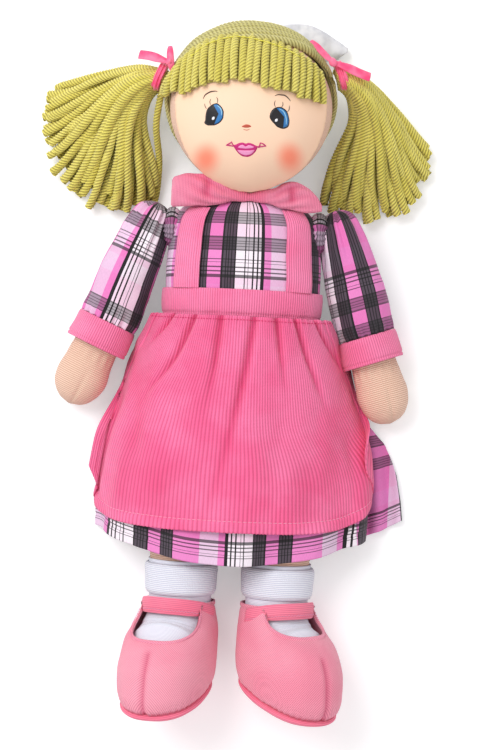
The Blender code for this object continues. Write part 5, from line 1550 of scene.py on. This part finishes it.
def leg_place(name, grid):
    """A leg's own grid, rolled to the side that its foot flops to and set in its place."""
    roll = FOOT_ROLL[name]
    turned = grid.copy()
    turned[..., 0] = grid[..., 0] * math.cos(roll) + grid[..., 2] * math.sin(roll)
    turned[..., 2] = -grid[..., 0] * math.sin(roll) + grid[..., 2] * math.cos(roll)
    return rest(turned + (SIDES[name] * LEG_X, 0, LEG_AXIS_Z), 0.0004)


def leg_section(shares, turns, grow):
    """Points of the leg and foot. Shares run from -1 at the hip to 0 at the ankle and 1 at the toe."""
    shares, turns = np.broadcast_arrays(shares, turns)
    flat = shares.ravel()
    leg = profile(LEG_TABLE, np.clip(1 + flat, 0, 1)) * LEG_RADIUS
    foot = profile(FOOT_TABLE, np.clip(flat, 0, 1)) * (FOOT_HALF_WIDTH, FOOT_HALF_DEPTH)
    on_leg = (flat < 0)[:, None]
    # The front of the foot is drawn in, to leave room under the shoe's cloth
    spare = 0.0035 * soften((flat - 0.45) / 0.25)
    half = np.where(on_leg, leg, foot) + grow - spare[:, None]
    gone = np.clip(flat, 0, 1) * (BEND + FOOT_LENGTH)
    bend = np.minimum(gone, BEND) / INSTEP
    beyond = np.maximum(gone - BEND, 0) * (1 + grow / FOOT_LENGTH)
    zero = np.zeros_like(flat)
    down = np.column_stack([zero, -np.sin(bend), -np.cos(bend)])
    ahead = np.column_stack([zero, -np.cos(bend), np.sin(bend)])
    sink = (FOOT_HALF_DEPTH - foot[:, 1]) * np.clip(flat, 0, 1)
    centre = BEND_CENTRE + down * (INSTEP + sink)[:, None] + ahead * beyond[:, None]
    centre[:, 1] += np.where(flat < 0, -flat * LEG_LENGTH, 0)
    turn = turns.ravel()
    cos, sin = np.cos(turn), np.sin(turn)
    points = centre - down * (half[:, 1] * sin)[:, None]
    points[:, 0] += half[:, 0] * cos
    points[:, 2] = np.maximum(points[:, 2], -LEG_AXIS_Z)
    # Nothing passes the plane of the sole
    excess = (points - BEND_CENTRE) @ SOLE_WAY - SOLE_REACH - grow
    points -= SOLE_WAY * np.where((excess > 0) & (flat > 0), excess, 0)[:, None]
    return points.reshape(*shares.shape, 3)


def leg_share(y):
    """The share of the leg at a place along it."""
    return (ANKLE_Y - y) / LEG_LENGTH


def make_leg(name):
    """The stuffed leg and foot, with a domed top under the skirt."""
    shares = np.concatenate([np.linspace(-1, 0, 70)[:-1], np.linspace(0, 1, 40)])[:, None]
    grid = leg_section(shares, turn_steps(72), 0.0)
    dome = []
    for angle in np.linspace(0.06, 1, 9)[:-1] * math.pi / 2:
        dome.append(grid[0] * (math.sin(angle), 1, math.sin(angle)))
        dome[-1][:, 1] = LEG_PIVOT_Y + 0.0158 * math.cos(angle)
    grid = np.concatenate([np.stack(dome), grid], 0)
    bumpy = swell(grid, ripple(grid, 0.022, 2.0 + SIDES[name]) * 0.0007)
    grid = np.where((grid[..., 1] > -0.125)[..., None], bumpy, grid)
    leg = shell(f"leg_form_{name}", leg_place(name, grid), SKIN)
    finish_piece(leg, f"leg_{name}", "skin", f"leg_{name}", fill=0.9)


def make_sock(name):
    """A knitted sock with a folded cuff."""
    side, turns = SIDES[name], turn_steps(96)
    shares = np.concatenate([np.linspace(leg_share(-0.124), 0, 30)[:-1], np.linspace(0, 1, 50)])
    shares = shares[:, None]
    grid = leg_section(shares, turns, 0.0013)
    crease = bell(shares - 0.22, 0.18) * np.clip(np.sin(turns), 0, 1)
    amount = crease * np.sin(shares * 55) * 0.0004 + ripple(grid, 0.014, 4 + side) * 0.0002
    sock = shell(f"sock_knit_{name}", leg_place(name, swell(grid, amount)), SOCK, start=False)
    finish_piece(thicken(sock, SOCK_THICK), f"leg_{name}", "white_knit", f"sock_{name}", fill=0.2)

    down = np.linspace(leg_share(-0.1262), leg_share(-0.1468), 40)[:, None]
    place = np.linspace(-1, 1, 40)[:, None]
    outer = leg_section(down, turns, 0.0017)
    roll = 0.0026 * (1 - np.abs(place) ** 5) ** 0.5 - 0.0004 * bell(place - 0.86, 0.04)
    outer = swell(outer, roll + ripple(outer, 0.02, 6 + side) * 0.0005)
    closed = np.concatenate([outer, leg_section(down[::-1], turns, 0.0016)[1:-1]], 0)
    uv = lengths(np.concatenate([closed, closed[:1]], 0), True)
    cuff = shell(f"sock_fold_{name}", leg_place(name, closed), SOCK_RIB, uv=uv, ring=True)
    finish_piece(cuff, f"leg_{name}", "white_knit", f"sock_cuff_{name}", fill=0.4)


SHOE_TABLE = (
    (0.00, -150.6, 22.8, -151.0, -22.4, 22.6), (0.15, -159.5, 27.5, -159.5, -22.8, 24.6),
    (0.30, -167.5, 35.5, -168.0, -23.0, 27.2), (0.45, -175.0, 45.0, -176.5, -23.2, 28.8),
    (0.60, -184.5, 51.5, -184.5, -23.2, 29.5), (0.75, -196.0, 55.2, -191.0, -22.8, 29.7),
    (0.88, -209.5, 55.6, -195.2, -21.4, 28.9), (0.96, -216.8, 53.6, -196.8, -19.9, 27.6),
    (1.00, -220.2, 51.0, -197.3, -18.8, 26.6))
THROAT_WIDTH, THROAT_POWER, SHOE_ROUND = math.radians(60), 2.6, 0.88
THROAT_LOW = {"left": 0.42, "right": 0.31}


def shoe_section(shares, turns, grow=0.0):
    """Points of the shoe's cloth, in rows from the ankle to the seam of its sole."""
    shares, turns = np.broadcast_arrays(shares, turns)
    front_y, front_z, back_y, back_z, wide = profile(SHOE_TABLE, shares.ravel()).T * MM
    front, back = (np.column_stack([0 * y, y, z]) for y, z in ((front_y, front_z), (back_y, back_z)))
    cos, sin = np.cos(turns.ravel()), np.sin(turns.ravel())
    deep = squared(sin, SHOE_ROUND) * (1 + grow / 0.038)
    points = (front + back) / 2 + (front - back) / 2 * deep[:, None]
    points[:, 0] += (wide + grow) * squared(cos, SHOE_ROUND)
    return points.reshape(*shares.shape, 3)


def throat_start(turns, low):
    """Where the shoe's cloth begins: at the ankle, or lower round the opening over the instep."""
    away = np.abs(turns - math.pi / 2) / THROAT_WIDTH
    return low * (1 - np.clip(away, 0, 1) ** THROAT_POWER) ** (1 / THROAT_POWER)


def make_upper(name):
    """The soft jersey upper, stitched round its open throat and darted over the toes."""
    side, low = SIDES[name], THROAT_LOW[name]
    inside = math.pi / 2 + THROAT_WIDTH * np.sin(np.linspace(-1, 1, 61) * math.pi / 2)
    outside = np.linspace(math.pi / 2 + THROAT_WIDTH, math.pi / 2 - THROAT_WIDTH + TAU, 73)[1:-1]
    turns = np.concatenate([inside, outside])
    run = np.linspace(0, 1, 80)[:, None]
    start = throat_start(turns, low)
    shares = start + (1 - start) * run
    grid = shoe_section(shares, turns)
    place = np.stack([np.abs(grid[..., 0]), grid[..., 2] - grid[..., 1]], -1)
    place = np.concatenate([place, place[:, :1]], 1)
    toes = soften((shares - 0.50) / 0.06)
    dart = bell(turns - math.pi / 2, 0.045) * toes
    beside = bell(turns - math.pi / 2, 0.16) * toes
    seam = bell(1 - shares, 0.022)
    puckers = np.sin(turns * 44) * 0.0003 * soften((shares - 0.86) / 0.1)
    binding = 0.0005 * (1 - soften((run - 0.03) / 0.02)) - 0.0005 * bell(run - 0.055, 0.012)
    amount = ripple(grid, 0.013, 8 + side) * 0.0005 + 0.0006 * beside - 0.0017 * dart - 0.0011 * seam
    grid = swell(grid, amount + puckers + binding)
    # Painted shade in the dart over the toes and along the seam at the sole
    upper = shell(f"shoe_jersey_{name}", leg_place(name, grid), SHOE_JERSEY, start=False, uv=place,
                  hollow=0.5 * dart + 0.5 * seam)
    finish_piece(thicken(upper, SHOE_THICK), f"leg_{name}", "pink_felt", f"shoe_upper_{name}", fill=0.4)

    rim = turns[2:59]
    edge = shoe_section(throat_start(rim, low) + 0.014, rim, 0.0008)
    stitches = stitch_row(f"throat_stitches_{name}", leg_place(name, edge), 0.0017, 0.0012,
                          0.00024, PINK_THREAD)
    finish_piece(stitches, f"leg_{name}", "pink_felt")


def strap_arch(turns):
    """How far the strap sags from the middle of the instep to its ends."""
    return STRAP_ARCH / LEG_LENGTH * (1 - np.sin(turns)) ** 1.3


def make_strap(name):
    """The ribbed strap over the instep, with a zigzag seam."""
    down = np.linspace(leg_share(-0.1476), leg_share(-0.1584), 22)[:, None]
    span = np.linspace(-0.06, math.pi + 0.06, 90)
    grid = leg_section(down + strap_arch(span), span, 0.0050)
    place = np.linspace(-1, 1, 22)[:, None]
    swellings = 0.0007 * (1 - np.abs(place) ** 4) - 0.0005 * bell(place - 0.5, 0.1)
    grid = swell(grid, swellings + ripple(grid, 0.012, 9 + SIDES[name]) * 0.0003, wrap=False)
    strap = shell(f"shoe_band_{name}", leg_place(name, grid), SHOE_TRIM_AND_SHADE, wrap=False)
    finish_cloth(strap, SHOE_THICK, f"leg_{name}", "pink_felt", f"shoe_strap_{name}")
    steps = np.linspace(0.04, math.pi - 0.04, 70)
    zigzag = leg_share(-0.1556) + 0.0042 * (2 * (np.arange(70) % 2) - 1) + strap_arch(steps)
    line = leg_place(name, leg_section(zigzag, steps, 0.0058))
    seam = spin(f"strap_stitches_{name}", [line], [0.0002], PINK_THREAD, step=0.0004, sides=6)
    finish_piece(seam, f"leg_{name}", "pink_felt")


def make_sole(name):
    """The padded sole, gathered at its rim, in the darker trim pink that paints the shade on it."""
    share = np.linspace(0, 1, 30)[:, None] ** 0.8
    size = profile(SOLE_TABLE, share[:, 0])
    turn = turn_steps(100)
    wide = size * squared(np.cos(turn), SHOE_ROUND) * SOLE_HALF_WIDTH
    long = size * squared(np.sin(turn), SHOE_ROUND) * SOLE_HALF_LENGTH
    centre = BEND_CENTRE + SOLE_WAY * (SOLE_REACH + 0.0031 + share * 0.0075) + TOE_WAY * 0.0020
    grid = centre[:, None] + wide[..., None] * X_AXIS + long[..., None] * TOE_WAY
    puckers = np.sin(turn * 40) * 0.0003 * bell(share, 0.2)
    grid = swell(grid, puckers + ripple(grid, 0.016, 10 + SIDES[name]) * 0.0004)
    # Painted shade: the sole is the same pink as the upper, and the darker trim pink on it paints the
    # shade that falls there
    sole = shell(f"sole_pad_{name}", leg_place(name, grid), SHOE_TRIM_AND_SHADE)
    finish_piece(sole, f"leg_{name}", "pink_felt", f"shoe_sole_{name}", fill=0.8)


HIP_SEAM_HALF, HIP_SEAM_Y, HIP_SEAM_Z, HIP_SEAM_SIZE = 0.046, -0.01415, 0.025, (0.0018, 0.0017)


def make_hips():
    """The seam between the torso and the legs."""
    centres = np.linspace((-HIP_SEAM_HALF, HIP_SEAM_Y, HIP_SEAM_Z),
                          (HIP_SEAM_HALF, HIP_SEAM_Y, HIP_SEAM_Z), 30)
    seam = shell("hip_tape", rings(centres, Y_AXIS, Z_AXIS, *HIP_SEAM_SIZE, 16), SKIN)
    finish_piece(seam, "hips", "skin", "hip_seam")


# Floor, light and camera

FLOOR_HALF, FLOOR_Z, SKY_STRENGTH = 3.0, -0.0002, 0.73
LAMPS = (("key", (-0.75, 0.70, 1.35), 0.9, 16.0), ("fill", (0.9, -0.6, 1.6), 1.4, 2.6))
CAMERA_PLACE, CAMERA_ROLL = (0.0075, -0.0007, 1.165), math.asin(0.0471)
CAMERA_LENS, CAMERA_SENSOR = 82.7, 36


def make_stage():
    """The floor, the two soft lamps and the camera straight above."""
    mesh = bpy.data.meshes.new("floor")
    corners = ((-1, -1), (1, -1), (1, 1), (-1, 1))
    mesh.from_pydata([(x * FLOOR_HALF, y * FLOOR_HALF, FLOOR_Z) for x, y in corners], [],
                     [(0, 1, 2, 3)])
    mesh.materials.append(plain_floor())
    place_object("floor", mesh)
    scene = bpy.context.scene
    scene.view_settings.view_transform = "Standard"
    scene.world = scene.world or bpy.data.worlds.new("sky")
    scene.world.use_nodes = True
    sky = scene.world.node_tree.nodes["Background"]
    sky.inputs["Color"].default_value = (1.0, 1.0, 1.0, 1)
    sky.inputs["Strength"].default_value = SKY_STRENGTH
    for name, place, size, power in LAMPS:
        lamp = bpy.data.lights.new(name, "AREA")
        lamp.size = size
        lamp.energy = power
        holder = place_object(name, lamp)
        holder.location = place
        holder.rotation_euler = (-Vector(place)).to_track_quat("-Z", "Y").to_euler()
    lens = bpy.data.cameras.new("camera")
    lens.sensor_fit = "VERTICAL"
    lens.sensor_height = CAMERA_SENSOR
    lens.lens = CAMERA_LENS
    scene.camera = place_object("camera", lens)
    scene.camera.location = CAMERA_PLACE
    scene.camera.rotation_euler = (0, 0, CAMERA_ROLL)


def main():
    """Make every piece, from the middle outward."""
    make_stage()
    make_torso()
    make_neck()
    make_collar()
    make_face(Face(make_head()))
    make_cap()
    make_fringe()
    make_tape()
    make_hips()
    make_apron(make_skirt())
    for name in SIDES:
        for make in (make_pigtail, make_arm, make_sleeve, make_cuff, make_shoulder, make_leg,
                     make_sock, make_upper, make_strap, make_sole):
            make(name)


main()
